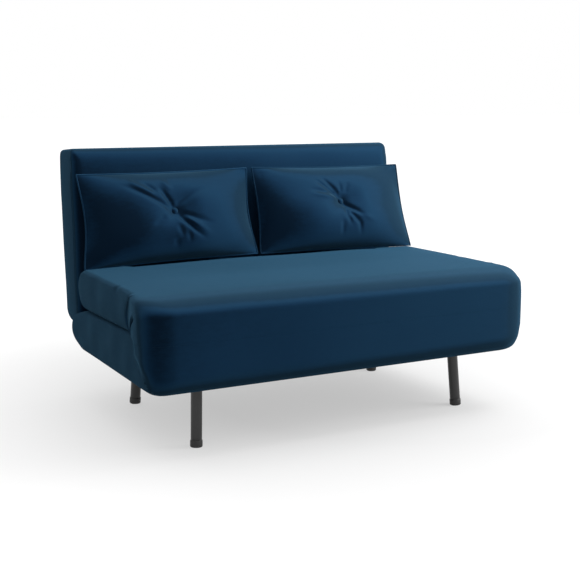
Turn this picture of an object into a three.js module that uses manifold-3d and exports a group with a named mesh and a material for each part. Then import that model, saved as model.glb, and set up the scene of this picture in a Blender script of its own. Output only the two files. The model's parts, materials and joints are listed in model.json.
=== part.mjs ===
// A two-seat fold-out sofa bed with a reclining back, in millimetres.
// X runs along the sofa, Y from the front to the back and Z up from the floor.
// While the pieces are made, Y starts at the front face. At the end the whole sofa is centred.
import * as THREE from "three";
import { mergeVertices } from "three/addons/utils/BufferGeometryUtils.js";
import Module from "manifold-3d";

const wasm = await Module();
wasm.setup();

// Driving dimensions of the whole sofa
const seatWidth = 1230;
const undersideHeight = 190;
const baseThickness = 137.5;
const leafThickness = 119.5;
const leafDepth = 677;
const noseOverhang = 80;
const backEndInset = 22;
const backThickness = 152;
const backLength = 533;
const backLeanDegrees = 4;
const backFaceSetback = 11;
const backFaceHeight = 742;

// Clearances between pieces, and the overrun of cutting bodies
const clearance = 0.3;
const layerGap = 1;
const overrun = 5;

// Steel tube, sheet and pins
const tubeRadius = 12;
const tubeWall = 1.5;
const studRadius = 5;
const studClearance = 0.4;
const studHeadRadius = 8;
const studHeadThickness = 3;

// Upholstery
const endEdgeRadius = 12;
const frontCornerRadius = 20;
const coverThickness = 6;
const coverTopRadius = 68;
const coverBottomRadius = 52;
const coverTopTail = 12;
const coverBottomTail = 8;
const dustCoverThickness = 1.5;

// Leaf hinge at the front of the line between the two layers
const hingeSetback = 12;
const hingeInset = 185;
const hingePlateWidth = 60;
const hingePlateThickness = 3;
const hingeKnuckleRadius = 5;
const hingeKnuckleWidth = 20;
const hingePinRadius = 2.6;
const hingePlateFoot = 32;

// Timber frame of the base
const railThickness = 28;
const railHeight = 56;
const rearRailDepth = 105;
const bearerWidth = 80;
const bearerThickness = 30;
const slatCount = 5;
const slatWidth = 70;
const slatThickness = 8;
const slatEndInset = 175;
const slatBearing = 20;

// Rear outlines of the two seat layers
const noseTopRun = 182;
const noseBottomRun = 117;
const leafRearRun = 65;
const noseHeightShare = 0.364;
const noseTopShare = 0.35;
const leafBulgeShare = 0.53;
const leafTopShare = 0.7;
const roundShare = 0.55;

// Splayed legs
const footEndInset = 159;
const frontFootDepth = 111;
const rearFootInset = 137;
const legSplayX = 10;
const legSplayY = 15;
const legTopRadius = 15;
const legBottomRadius = 16.5;
const legPlateSize = 76;
const legPlateThickness = 4;
const capRadius = 18;
const capHeight = 22;

// Frame and swing legs of the leaf
const leafSideInset = 40;
const leafRearInset = 59;
const leafRecessDepth = 34;
const leafRecessMargin = 30;
const swingLegInset = 185;
const swingLegRadius = 11;
const swingLegGap = 3;
const swingLegHeel = 14;
const swingFootRadius = 13;
const swingFootHeight = 18;
const floorGap = 0.5;

// Back, its click-clack fittings and its hanging legs
const backEndRadius = 20;
const backTopRadius = 22;
const backBottomRadius = 24;
const backBottomRise = 30;
const backTubeEdge = 24;
const fittingThickness = 5;
const fittingGap = 1;
const fittingInset = 59;
const fittingHubRadius = 22;
const fittingPinRadius = 6;
const fittingPinHeadRadius = 11;
const fittingPinHeadThickness = 4;
const fittingStripWidth = 30;
const armLength = 150;
const armToothCount = 7;
const armToothDepth = 3;
const sidePlateDrop = 45.5;
const hangLegInset = 163;
const hangLegRadius = 10;
const hangLegDrop = 113;
const hangPivotReach = 16;
const hangPlateWidth = 60;
const hangPlateHeight = 70;
const hangPlateThickness = 4;
const hangLugGap = 2;

// Loose cushions
const cushionEndInset = 16;
const cushionHeight = 297;
const cushionGap = 6;
const cushionBottomStandoff = 48;
const cushionTopStandoff = 36;
const cushionFrontCrown = 84;
const cushionRearCrown = 44;
const cushionDrawnIn = 9;
const cushionSwingGap = 4;
const cushionEdgePower = 4;
const cushionCrownPower = 0.62;
const tuftDepth = 24;
const tuftRadius = 34;
const tuftFolds = 9;
const tuftFoldDepth = 5;
const buttonRadius = 12;
const buttonThickness = 6;

// Facet counts
const tubeSides = 14;
const pinSides = 20;
const curveSteps = 5;
const bevelSteps = 2;
const cushionStepsX = 24;
const cushionStepsZ = 14;

// Places worked out from the driving dimensions
const halfWidth = seatWidth / 2;
const baseDepth = leafDepth + noseOverhang;
const padFace = hingeSetback + clearance;
const bedHeight = undersideHeight + baseThickness;
const hingeHeight = bedHeight + layerGap / 2;
const leafBottom = bedHeight + layerGap;
const seatHeight = leafBottom + leafThickness;
const leafMiddle = (leafBottom + seatHeight) / 2;
const leafBulgeHeight = THREE.MathUtils.lerp(leafBottom, seatHeight, leafBulgeShare);
const hingePlace = halfWidth - hingeInset;
const hingePlateBottom = undersideHeight + hingePlateFoot;
const hingePlateTop = leafMiddle + tubeRadius;
const railTop = undersideHeight + railHeight;
const noseHeight = undersideHeight + noseHeightShare * baseThickness;
const slatPitch = (seatWidth - 2 * slatEndInset) / (slatCount - 1);
const rearFootDepth = baseDepth - rearFootInset;
const baseBottom = undersideHeight + dustCoverThickness + clearance;
const padBottom = railTop + slatThickness + 2 * clearance;
const lean = THREE.MathUtils.degToRad(backLeanDegrees);
const backHalf = halfWidth - backEndInset;
const backFaceDepth = baseDepth - backFaceSetback;
const pivotHeight = bedHeight - backThickness / 2;
const pivotDepth =
  backFaceDepth -
  (backFaceHeight - pivotHeight) * Math.tan(lean) +
  backThickness / 2 / Math.cos(lean);
const backTop = backBottomRise + backLength;
const fittingPlace = backHalf - fittingInset;
const sidePlateBottom = pivotHeight - sidePlateDrop;
const armInner = fittingPlace + fittingThickness + fittingGap;
const armOuter = armInner + fittingThickness;
const backTubeX = armOuter + clearance + tubeRadius;
const leafTubeX = halfWidth - leafSideInset;
const leafFrontTubeY = padFace + hingePlateThickness + clearance + tubeRadius;
const leafRearTubeY = leafDepth - leafRearInset;
const leafRecessY = leafDepth - leafRecessDepth;
const swingLegPlace = halfWidth - swingLegInset;
const swingLegY = leafRecessY + swingLegGap + swingLegRadius;
const swingLegLength = 2 * hingeHeight - leafMiddle - floorGap;
const hangPivotV = backThickness / 2 + hangPivotReach;
const hangLegPlace = backHalf - hangLegInset;
const hangLegRise = backTop - hangLegDrop;
const hangLegLength = pivotHeight - hangPivotV - floorGap;
const cushionWidth = halfWidth - cushionEndInset - cushionGap / 2;
const cushionRise =
  (seatHeight - pivotHeight - (backThickness / 2 + cushionBottomStandoff) * Math.sin(lean)) /
  Math.cos(lean);

// Finishes
function finish(color, roughness, metalness) {
  return { color, roughness, metalness };
}
const velvet = finish(0x17395c, 0.85, 0);
const velvetDark = finish(0x0f2a45, 0.9, 0);
const lining = finish(0x1b1d20, 0.95, 0);
const timber = finish(0xc7a678, 0.7, 0);
const slatWood = finish(0xd9bf93, 0.6, 0);
const blackSteel = finish(0x2b2b2b, 0.45, 0.6);
const zincSteel = finish(0x9a9da0, 0.4, 0.9);
const rubber = finish(0x1c1c1c, 0.8, 0);

// Geometry helpers
function solidOf(geometry) {
  const bare = geometry.clone();
  bare.deleteAttribute("normal");
  bare.deleteAttribute("uv");
  const merged = mergeVertices(bare);
  return new wasm.Manifold(
    new wasm.Mesh({
      numProp: 3,
      vertProperties: new Float32Array(merged.getAttribute("position").array),
      triVerts: new Uint32Array(merged.index.array),
    }),
  );
}

function geometryOf(solid) {
  const made = solid.getMesh();
  const geometry = new THREE.BufferGeometry();
  const places = new Float32Array(made.numVert * 3);
  for (let i = 0; i < made.numVert; i++) {
    const start = i * made.numProp;
    places.set(made.vertProperties.subarray(start, start + 3), i * 3);
  }
  geometry.setAttribute("position", new THREE.BufferAttribute(places, 3));
  geometry.setIndex(new THREE.BufferAttribute(new Uint32Array(made.triVerts), 1));
  return geometry;
}

function piece(name, shape, look, parent) {
  const geometry = shape.isBufferGeometry ? shape : geometryOf(shape);
  geometry.computeVertexNormals();
  const mesh = new THREE.Mesh(geometry, new THREE.MeshStandardMaterial(look));
  mesh.name = name;
  parent.add(mesh);
  return mesh;
}

function box(x0, x1, y0, y1, z0, z1) {
  const geometry = new THREE.BoxGeometry(x1 - x0, y1 - y0, z1 - z0);
  geometry.translate((x0 + x1) / 2, (y0 + y1) / 2, (z0 + z1) / 2);
  return solidOf(geometry);
}

// A side outline, drawn with Y to the right and Z up, made into a body from x0 to x1.
function across(outline, x0, x1, edgeRadius = 0) {
  const geometry = new THREE.ExtrudeGeometry(outline, {
    depth: x1 - x0 - 2 * edgeRadius,
    curveSegments: curveSteps,
    bevelEnabled: edgeRadius > 0,
    bevelThickness: edgeRadius,
    bevelSize: edgeRadius,
    bevelOffset: -edgeRadius,
    bevelSegments: bevelSteps,
  });
  const along = new THREE.Vector3(1, 0, 0);
  const rearward = new THREE.Vector3(0, 1, 0);
  const upward = new THREE.Vector3(0, 0, 1);
  geometry.translate(0, 0, x0 + edgeRadius);
  geometry.applyMatrix4(new THREE.Matrix4().makeBasis(rearward, upward, along));
  return solidOf(geometry);
}

// Moves a body made along +Z so that it runs from one point towards another.
function aim(geometry, from, to) {
  const way = new THREE.Vector3().subVectors(to, from).normalize();
  const turn = new THREE.Quaternion().setFromUnitVectors(new THREE.Vector3(0, 0, 1), way);
  geometry.applyQuaternion(turn);
  geometry.translate(from.x, from.y, from.z);
  return geometry;
}

function rod(from, to, radius, sides = tubeSides, endRadius = radius) {
  const length = from.distanceTo(to);
  const geometry = new THREE.CylinderGeometry(endRadius, radius, length, sides);
  geometry.rotateX(Math.PI / 2);
  geometry.translate(0, 0, length / 2);
  return solidOf(aim(geometry, from, to));
}

// A cutting rod whose flats, not its corners, lie at the radius.
function channel(from, to, radius) {
  return rod(from, to, radius / Math.cos(Math.PI / tubeSides));
}

function tube(from, to) {
  const ring = new THREE.Shape();
  ring.absarc(0, 0, tubeRadius, 0, 2 * Math.PI);
  const bore = new THREE.Path();
  bore.absarc(0, 0, tubeRadius - tubeWall, 0, 2 * Math.PI, true);
  ring.holes.push(bore);
  const geometry = new THREE.ExtrudeGeometry(ring, {
    depth: from.distanceTo(to),
    curveSegments: tubeSides / 2,
    bevelEnabled: false,
  });
  return solidOf(aim(geometry, from, to));
}

function point(x, y, z) {
  return new THREE.Vector3(x, y, z);
}

// A quarter bend that leaves along one axis and arrives along the other.
function bend(outline, y0, z0, y1, z1, share, startsLevel) {
  if (startsLevel) {
    outline.bezierCurveTo(y0 + share * (y1 - y0), z0, y1, z1 + share * (z0 - z1), y1, z1);
  } else {
    outline.bezierCurveTo(y0, z0 + share * (z1 - z0), y1 + share * (y0 - y1), z1, y1, z1);
  }
}

const group = new THREE.Group();
const sides = [
  ["left", -1],
  ["right", 1],
];

// Plan of the seat: both front corners are rounded
function planBody() {
  const plan = new THREE.Shape();
  plan.moveTo(-halfWidth, baseDepth + overrun);
  plan.lineTo(-halfWidth, frontCornerRadius);
  plan.absarc(frontCornerRadius - halfWidth, frontCornerRadius, frontCornerRadius, Math.PI, 1.5 * Math.PI);
  plan.lineTo(halfWidth - frontCornerRadius, 0);
  plan.absarc(halfWidth - frontCornerRadius, frontCornerRadius, frontCornerRadius, -0.5 * Math.PI, 0);
  plan.lineTo(halfWidth, baseDepth + overrun);
  const geometry = new THREE.ExtrudeGeometry(plan, {
    depth: seatHeight,
    curveSegments: curveSteps,
    bevelEnabled: false,
  });
  return solidOf(geometry);
}

// Side outline of the whole lower layer, behind the front cover
function baseOutline() {
  const radius = coverBottomRadius - padFace;
  const stepY = coverBottomRadius + coverBottomTail + clearance;
  const outline = new THREE.Shape();
  outline.moveTo(padFace, bedHeight);
  outline.lineTo(padFace, undersideHeight + coverBottomRadius);
  outline.absarc(
    coverBottomRadius,
    undersideHeight + coverBottomRadius,
    radius,
    Math.PI,
    1.5 * Math.PI,
  );
  outline.lineTo(stepY, undersideHeight + coverBottomRadius - radius);
  outline.lineTo(stepY, baseBottom);
  outline.lineTo(baseDepth - noseBottomRun, baseBottom);
  bend(outline, baseDepth - noseBottomRun, baseBottom, baseDepth, noseHeight, roundShare, true);
  bend(outline, baseDepth, noseHeight, baseDepth - noseTopRun, bedHeight, noseTopShare, false);
  outline.lineTo(padFace, bedHeight);
  return outline;
}

// Side outline of the whole leaf, behind and under the front cover
function leafOutline() {
  const radius = coverTopRadius - padFace;
  const stepY = coverTopRadius + coverTopTail + clearance;
  const outline = new THREE.Shape();
  outline.moveTo(padFace, leafBottom);
  outline.lineTo(padFace, seatHeight - coverTopRadius);
  outline.absarc(
    coverTopRadius,
    seatHeight - coverTopRadius,
    radius,
    Math.PI,
    0.5 * Math.PI,
    true,
  );
  outline.lineTo(stepY, seatHeight - coverTopRadius + radius);
  outline.lineTo(stepY, seatHeight);
  outline.lineTo(leafDepth - leafRearRun, seatHeight);
  bend(outline, leafDepth - leafRearRun, seatHeight, leafDepth, leafBulgeHeight, leafTopShare, true);
  bend(outline, leafDepth, leafBulgeHeight, leafDepth - leafRearRun, leafBottom, roundShare, false);
  outline.lineTo(padFace, leafBottom);
  return outline;
}

// The fabric panel over the front of both layers
function coverOutline() {
  const inner = coverThickness;
  const low = undersideHeight;
  const high = seatHeight;
  const outline = new THREE.Shape();
  outline.moveTo(coverBottomRadius + coverBottomTail, low);
  outline.lineTo(coverBottomRadius, low);
  outline.absarc(
    coverBottomRadius,
    low + coverBottomRadius,
    coverBottomRadius,
    1.5 * Math.PI,
    Math.PI,
    true,
  );
  outline.lineTo(0, high - coverTopRadius);
  outline.absarc(
    coverTopRadius,
    high - coverTopRadius,
    coverTopRadius,
    Math.PI,
    0.5 * Math.PI,
    true,
  );
  outline.lineTo(coverTopRadius + coverTopTail, high);
  outline.lineTo(coverTopRadius + coverTopTail, high - inner);
  outline.lineTo(coverTopRadius, high - inner);
  outline.absarc(
    coverTopRadius,
    high - coverTopRadius,
    coverTopRadius - inner,
    0.5 * Math.PI,
    Math.PI,
  );
  outline.lineTo(inner, low + coverBottomRadius);
  outline.absarc(
    coverBottomRadius,
    low + coverBottomRadius,
    coverBottomRadius - inner,
    Math.PI,
    1.5 * Math.PI,
  );
  outline.lineTo(coverBottomRadius + coverBottomTail, low + inner);
  return outline;
}

// Room in both layers for the two hinge halves of one side
function hingeRoom(x) {
  const half = hingePlateWidth / 2 + clearance;
  const rear = padFace + hingePlateThickness + clearance;
  const low = hingePlateBottom - clearance;
  const high = hingePlateTop + clearance;
  const plates = box(x - half, x + half, 0, rear, low, high);
  const knuckles = rod(
    point(x - half, hingeSetback, hingeHeight),
    point(x + half, hingeSetback, hingeHeight),
    hingeKnuckleRadius + layerGap,
  );
  return plates.add(knuckles);
}

// The part that is welded to the front rail: a plate, two knuckles and the pin
function hingeBaseHalf(x) {
  const half = hingePlateWidth / 2;
  const room = hingeKnuckleWidth / 2 + clearance;
  const rear = padFace + hingePlateThickness;
  const plate = box(x - half, x + half, padFace, rear, hingePlateBottom, hingeHeight);
  const notchLow = hingeHeight - hingeKnuckleRadius - layerGap;
  const notch = box(x - room, x + room, 0, rear + overrun, notchLow, hingeHeight + overrun);
  let made = plate.subtract(notch);
  for (const way of [-1, 1]) {
    made = made.add(
      rod(
        point(x + way * room, hingeSetback, hingeHeight),
        point(x + way * half, hingeSetback, hingeHeight),
        hingeKnuckleRadius,
        pinSides,
      ),
    );
  }
  const pin = rod(
    point(x - half, hingeSetback, hingeHeight),
    point(x + half, hingeSetback, hingeHeight),
    hingePinRadius,
    pinSides,
  );
  return made.add(pin);
}

// The part that is welded to the front tube of the leaf: a plate and one knuckle
function hingeLeafHalf(x) {
  const half = hingePlateWidth / 2;
  const middle = hingeKnuckleWidth / 2;
  const rear = padFace + hingePlateThickness;
  const shoulder = hingeHeight + hingeKnuckleRadius + layerGap;
  const plate = box(x - half, x + half, padFace, rear, shoulder, hingePlateTop);
  const neck = box(x - middle, x + middle, padFace, rear, hingeHeight, shoulder);
  const knuckle = rod(
    point(x - middle, hingeSetback, hingeHeight),
    point(x + middle, hingeSetback, hingeHeight),
    hingeKnuckleRadius,
    pinSides,
  );
  const bore = rod(
    point(x - middle - overrun, hingeSetback, hingeHeight),
    point(x + middle + overrun, hingeSetback, hingeHeight),
    hingePinRadius + studClearance,
    pinSides,
  );
  return plate.add(neck).add(knuckle).subtract(bore);
}

// Base: rails, bearers, slats, pad and covers
const plan = planBody();
const wholeBase = across(baseOutline(), -halfWidth, halfWidth, endEdgeRadius).intersect(plan);
const railInner = halfWidth - railThickness;
const hingeRooms = sides.map(([, way]) => hingeRoom(way * hingePlace));

function baseSlice(x0, x1, y0, y1, z0, z1) {
  return wholeBase.intersect(box(x0, x1, y0, y1, z0, z1));
}

function makeBase() {
  const sideTop = padBottom - clearance;
  const inner = railInner - clearance;
  const frontBack = padFace + hingePlateThickness + clearance;
  for (const [side, way] of sides) {
    const x0 = way < 0 ? -halfWidth : railInner;
    const x1 = way < 0 ? -railInner : halfWidth;
    piece(`side_rail_${side}`, baseSlice(x0, x1, 0, baseDepth, 0, sideTop), timber, group);
  }
  piece(
    "front_rail",
    baseSlice(-inner, inner, frontBack, frontBack + railThickness, 0, railTop),
    timber,
    group,
  );
  const rearStart = baseDepth - rearRailDepth;
  let rearRail = baseSlice(-inner, inner, rearStart, baseDepth, 0, railTop);
  for (const [, way] of sides) {
    const middle = way * (fittingPlace + fittingThickness / 2);
    const half = fittingThickness / 2 + clearance;
    const slot = box(
      middle - half,
      middle + half,
      rearStart - overrun,
      baseDepth + overrun,
      sidePlateBottom - clearance,
      railTop + overrun,
    );
    rearRail = rearRail.subtract(slot);
  }
  piece("rear_rail", rearRail, timber, group);

  const bearerBottom = baseBottom + legPlateThickness + clearance;
  const bearerPlaces = [
    ["front", frontFootDepth + legSplayY],
    ["rear", rearFootDepth - legSplayY],
  ];
  for (const [end, y] of bearerPlaces) {
    const y0 = y - bearerWidth / 2;
    const y1 = y + bearerWidth / 2;
    const bearer = box(-inner, inner, y0, y1, bearerBottom, bearerBottom + bearerThickness);
    piece(`bearer_${end}`, bearer, timber, group);
  }

  const slatBottom = railTop + clearance;
  for (let i = 0; i < slatCount; i++) {
    const x = (i - (slatCount - 1) / 2) * slatPitch;
    const y0 = frontBack + railThickness - slatBearing;
    const y1 = baseDepth - rearRailDepth + slatBearing;
    const slat = box(
      x - slatWidth / 2,
      x + slatWidth / 2,
      y0,
      y1,
      slatBottom,
      slatBottom + slatThickness,
    );
    piece(`slat_${i + 1}`, slat, slatWood, group);
  }

  let pad = baseSlice(-halfWidth, halfWidth, 0, baseDepth, padBottom, bedHeight);
  for (const room of hingeRooms) {
    pad = pad.subtract(room);
  }
  piece("lower_pad", pad, velvet, group);

  let dust = box(
    -railInner,
    railInner,
    coverBottomRadius + coverBottomTail + clearance,
    baseDepth - rearRailDepth,
    undersideHeight,
    undersideHeight + dustCoverThickness,
  );
  for (const [, , axis] of legAxes()) {
    const at = axis(undersideHeight);
    const hole = capRadius + layerGap;
    dust = dust.subtract(
      rod(point(at.x, at.y, 0), point(at.x, at.y, undersideHeight + overrun), hole, pinSides),
    );
  }
  piece("dust_cover", dust, lining, group);

  const cover = across(coverOutline(), -halfWidth, halfWidth).intersect(plan);
  piece("front_cover", cover, velvetDark, group);
}

// Splayed legs: each axis is a line from its foot on the floor to its plate
function legAxes() {
  const found = [];
  for (const [side, way] of sides) {
    for (const [end, footY, lengthwise] of [
      ["front", frontFootDepth, 1],
      ["rear", rearFootDepth, -1],
    ]) {
      const footX = way * (halfWidth - footEndInset);
      const axis = (height) => {
        const share = height / undersideHeight;
        return point(
          footX - way * legSplayX * share,
          footY + lengthwise * legSplayY * share,
          height,
        );
      };
      found.push([side, end, axis]);
    }
  }
  return found;
}

function makeLegs() {
  const plateBottom = baseBottom;
  const plateTop = plateBottom + legPlateThickness;
  for (const [side, end, axis] of legAxes()) {
    const top = axis(plateTop);
    const half = legPlateSize / 2;
    const plate = box(top.x - half, top.x + half, top.y - half, top.y + half, plateBottom, plateTop);
    const stem = rod(axis(capHeight + clearance), top, legBottomRadius, pinSides, legTopRadius);
    const roof = box(
      top.x - half,
      top.x + half,
      top.y - half,
      top.y + half,
      plateTop,
      plateTop + capHeight,
    );
    piece(`leg_${end}_${side}`, stem.subtract(roof).add(plate), blackSteel, group);
    const stub = rod(axis(-overrun), axis(capHeight), capRadius, pinSides);
    const foot = axis(0);
    const ground = box(
      foot.x - 2 * capRadius,
      foot.x + 2 * capRadius,
      foot.y - 2 * capRadius,
      foot.y + 2 * capRadius,
      -2 * overrun,
      0,
    );
    piece(`foot_cap_${end}_${side}`, stub.subtract(ground), rubber, group);
  }
}

// Leaf: steel frame, two pads and two swing legs
function makeLeaf() {
  const whole = across(leafOutline(), -halfWidth, halfWidth, endEdgeRadius).intersect(plan);
  const halfRecess = swingLegPlace + leafRecessMargin;
  const recess = box(
    -halfRecess,
    halfRecess,
    leafRecessY,
    leafDepth + overrun,
    0,
    seatHeight + overrun,
  );
  const front = leafFrontTubeY;
  const rear = leafRearTubeY;
  const x = leafTubeX;
  const z = leafMiddle;
  const acrossEnd = x - tubeRadius - clearance;
  const runs = {
    front: [point(-acrossEnd, front, z), point(acrossEnd, front, z)],
    rear: [point(-acrossEnd, rear, z), point(acrossEnd, rear, z)],
    left: [point(-x, front - tubeRadius, z), point(-x, rear + tubeRadius, z)],
    right: [point(x, front - tubeRadius, z), point(x, rear + tubeRadius, z)],
  };
  let stuffing = whole.subtract(recess);
  for (const room of hingeRooms) {
    stuffing = stuffing.subtract(room);
  }
  for (const [name, [from, to]] of Object.entries(runs)) {
    const way = new THREE.Vector3().subVectors(to, from).normalize().multiplyScalar(tubeRadius);
    const start = from.clone().sub(way);
    const end = to.clone().add(way);
    stuffing = stuffing.subtract(channel(start, end, tubeRadius + clearance));
    let made = tube(from, to);
    if (name === "rear") {
      for (const [, side] of sides) {
        made = made.add(swingStud(side * swingLegPlace));
      }
    }
    piece(`leaf_tube_${name}`, made, zincSteel, group);
  }
  for (const [, side] of sides) {
    const at = side * swingLegPlace;
    const hole = rod(
      point(at, rear, z),
      point(at, leafDepth, z),
      studRadius + studClearance,
      pinSides,
    );
    stuffing = stuffing.subtract(hole);
  }
  const low = box(-halfWidth, halfWidth, 0, leafDepth, 0, z - clearance / 2);
  const high = box(-halfWidth, halfWidth, 0, leafDepth, z + clearance / 2, seatHeight);
  piece("leaf_pad_bed", stuffing.intersect(low), velvet, group);
  piece("leaf_pad_seat", stuffing.intersect(high), velvet, group);
  for (const [side, way] of sides) {
    piece(`leaf_hinge_lower_${side}`, hingeBaseHalf(way * hingePlace), zincSteel, group);
    piece(`leaf_hinge_upper_${side}`, hingeLeafHalf(way * hingePlace), zincSteel, group);
    makeSwingLeg(side, way);
  }
}

function swingStud(x) {
  const headStart = swingLegY + swingLegRadius + clearance;
  const neck = rod(
    point(x, leafRearTubeY + tubeRadius - tubeWall, leafMiddle),
    point(x, headStart + studHeadThickness, leafMiddle),
    studRadius,
    pinSides,
  );
  const head = rod(
    point(x, headStart, leafMiddle),
    point(x, headStart + studHeadThickness, leafMiddle),
    studHeadRadius,
    pinSides,
  );
  return neck.add(head);
}

function makeSwingLeg(side, way) {
  const at = (along) => point(way * (swingLegPlace - along), swingLegY, leafMiddle);
  const footStart = swingLegLength - swingFootHeight;
  const bore = rod(
    point(way * swingLegPlace, swingLegY - 2 * swingLegRadius, leafMiddle),
    point(way * swingLegPlace, swingLegY + 2 * swingLegRadius, leafMiddle),
    studRadius + studClearance,
    pinSides,
  );
  const stem = rod(at(-swingLegHeel), at(footStart - clearance), swingLegRadius, pinSides);
  piece(`swing_leg_${side}`, stem.subtract(bore), blackSteel, group);
  const foot = rod(at(footStart), at(swingLegLength), swingFootRadius, pinSides);
  piece(`swing_foot_${side}`, foot, rubber, group);
}

// Back, made upright round its pivot line and then leaned
const backGroup = new THREE.Group();
backGroup.position.set(0, pivotDepth, pivotHeight);
backGroup.rotation.x = -lean;
group.add(backGroup);

function backOutline() {
  const front = -backThickness / 2;
  const rear = backThickness / 2;
  const low = backBottomRise;
  const shoulder = backTop - backTopRadius;
  const hip = low + backBottomRadius;
  const outline = new THREE.Shape();
  outline.moveTo(front, hip);
  outline.lineTo(front, shoulder);
  bend(outline, front, shoulder, front + backTopRadius, backTop, roundShare, false);
  outline.lineTo(rear - backTopRadius, backTop);
  bend(outline, rear - backTopRadius, backTop, rear, shoulder, roundShare, true);
  outline.lineTo(rear, hip);
  bend(outline, rear, hip, rear - backBottomRadius, low, roundShare, false);
  outline.lineTo(front + backBottomRadius, low);
  bend(outline, front + backBottomRadius, low, front, hip, roundShare, true);
  return outline;
}

function makeBack() {
  const half = backHalf;
  const x = backTubeX;
  const low = backBottomRise + backTubeEdge;
  const high = backTop - backTubeEdge;
  const bottomEnd = armInner - clearance;
  const topEnd = x - tubeRadius - clearance;
  const runs = {
    bottom: [point(-bottomEnd, 0, low), point(bottomEnd, 0, low)],
    top: [point(-topEnd, 0, high), point(topEnd, 0, high)],
    left: [point(-x, 0, low - tubeRadius), point(-x, 0, high + tubeRadius)],
    right: [point(x, 0, low - tubeRadius), point(x, 0, high + tubeRadius)],
  };
  let stuffing = across(backOutline(), -half, half, backEndRadius);
  for (const [name, [from, to]] of Object.entries(runs)) {
    const way = new THREE.Vector3().subVectors(to, from).normalize().multiplyScalar(clearance);
    const start = from.clone().sub(way);
    const end = to.clone().add(way);
    stuffing = stuffing.subtract(channel(start, end, tubeRadius + clearance));
    piece(`back_tube_${name}`, tube(from, to), zincSteel, backGroup);
  }
  for (const [, way] of sides) {
    const x0 = Math.min(way * armInner, way * armOuter) - clearance;
    const x1 = Math.max(way * armInner, way * armOuter) + clearance;
    const halfStrip = fittingStripWidth / 2 + clearance;
    const slot = box(x0, x1, -halfStrip, halfStrip, 0, armLength + clearance);
    stuffing = stuffing.subtract(slot);
  }
  const front = box(-half, half, -backThickness, -clearance / 2, 0, backTop + overrun);
  const rear = box(-half, half, clearance / 2, backThickness, 0, backTop + overrun);
  piece("back_pad_front", stuffing.intersect(front), velvet, backGroup);
  piece("back_pad_rear", stuffing.intersect(rear), velvetDark, backGroup);
  for (const [side, way] of sides) {
    makeFitting(side, way);
    makeHangingLeg(side, way);
  }
}

// The click-clack arm's outline: a toothed hub round the pivot and a strip up into the back
function armOutline() {
  const half = fittingStripWidth / 2;
  const outline = new THREE.Shape();
  const topAngle = Math.acos(half / fittingHubRadius);
  outline.moveTo(half, armLength);
  outline.lineTo(-half, armLength);
  const start = Math.PI - topAngle;
  const span = Math.PI + 2 * topAngle;
  const step = span / (2 * armToothCount);
  for (let i = 0; i <= 2 * armToothCount; i++) {
    const reach = fittingHubRadius - (i % 2) * armToothDepth;
    const angle = start + i * step;
    outline.lineTo(reach * Math.cos(angle), reach * Math.sin(angle));
  }
  return outline;
}

// The side plate's outline, in the frame of the whole sofa
function sidePlateOutline() {
  const start = baseDepth - rearRailDepth;
  const hubAngle = Math.PI / 2;
  const outline = new THREE.Shape();
  outline.moveTo(start, railTop);
  outline.lineTo(start, sidePlateBottom);
  outline.lineTo(baseDepth - fittingHubRadius, sidePlateBottom);
  outline.absarc(pivotDepth, pivotHeight, fittingHubRadius, -hubAngle, hubAngle);
  outline.lineTo(baseDepth + clearance, railTop);
  return outline;
}

function makeFitting(side, way) {
  const x0 = Math.min(way * fittingPlace, way * (fittingPlace + fittingThickness));
  const bored = fittingPinRadius + clearance;
  const plateHole = rod(
    point(x0 - overrun, pivotDepth, pivotHeight),
    point(x0 + fittingThickness + overrun, pivotDepth, pivotHeight),
    bored,
    pinSides,
  );
  const plate = across(sidePlateOutline(), x0, x0 + fittingThickness);
  piece(`click_plate_${side}`, plate.subtract(plateHole), zincSteel, group);

  const arm0 = Math.min(way * armInner, way * armOuter);
  const armHole = rod(
    point(arm0 - overrun, 0, 0),
    point(arm0 + fittingThickness + overrun, 0, 0),
    bored,
    pinSides,
  );
  const arm = across(armOutline(), arm0, arm0 + fittingThickness);
  piece(`click_arm_${side}`, arm.subtract(armHole), zincSteel, backGroup);

  const inner = fittingPlace - clearance;
  const outer = armOuter + clearance;
  const place = (along) => point(way * along, pivotDepth, pivotHeight);
  const head = fittingPinHeadThickness;
  const pin = rod(place(inner - head), place(outer + head), fittingPinRadius, pinSides)
    .add(rod(place(inner - head), place(inner), fittingPinHeadRadius, pinSides))
    .add(rod(place(outer), place(outer + head), fittingPinHeadRadius, pinSides));
  piece(`click_pin_${side}`, pin, blackSteel, group);
}

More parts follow.
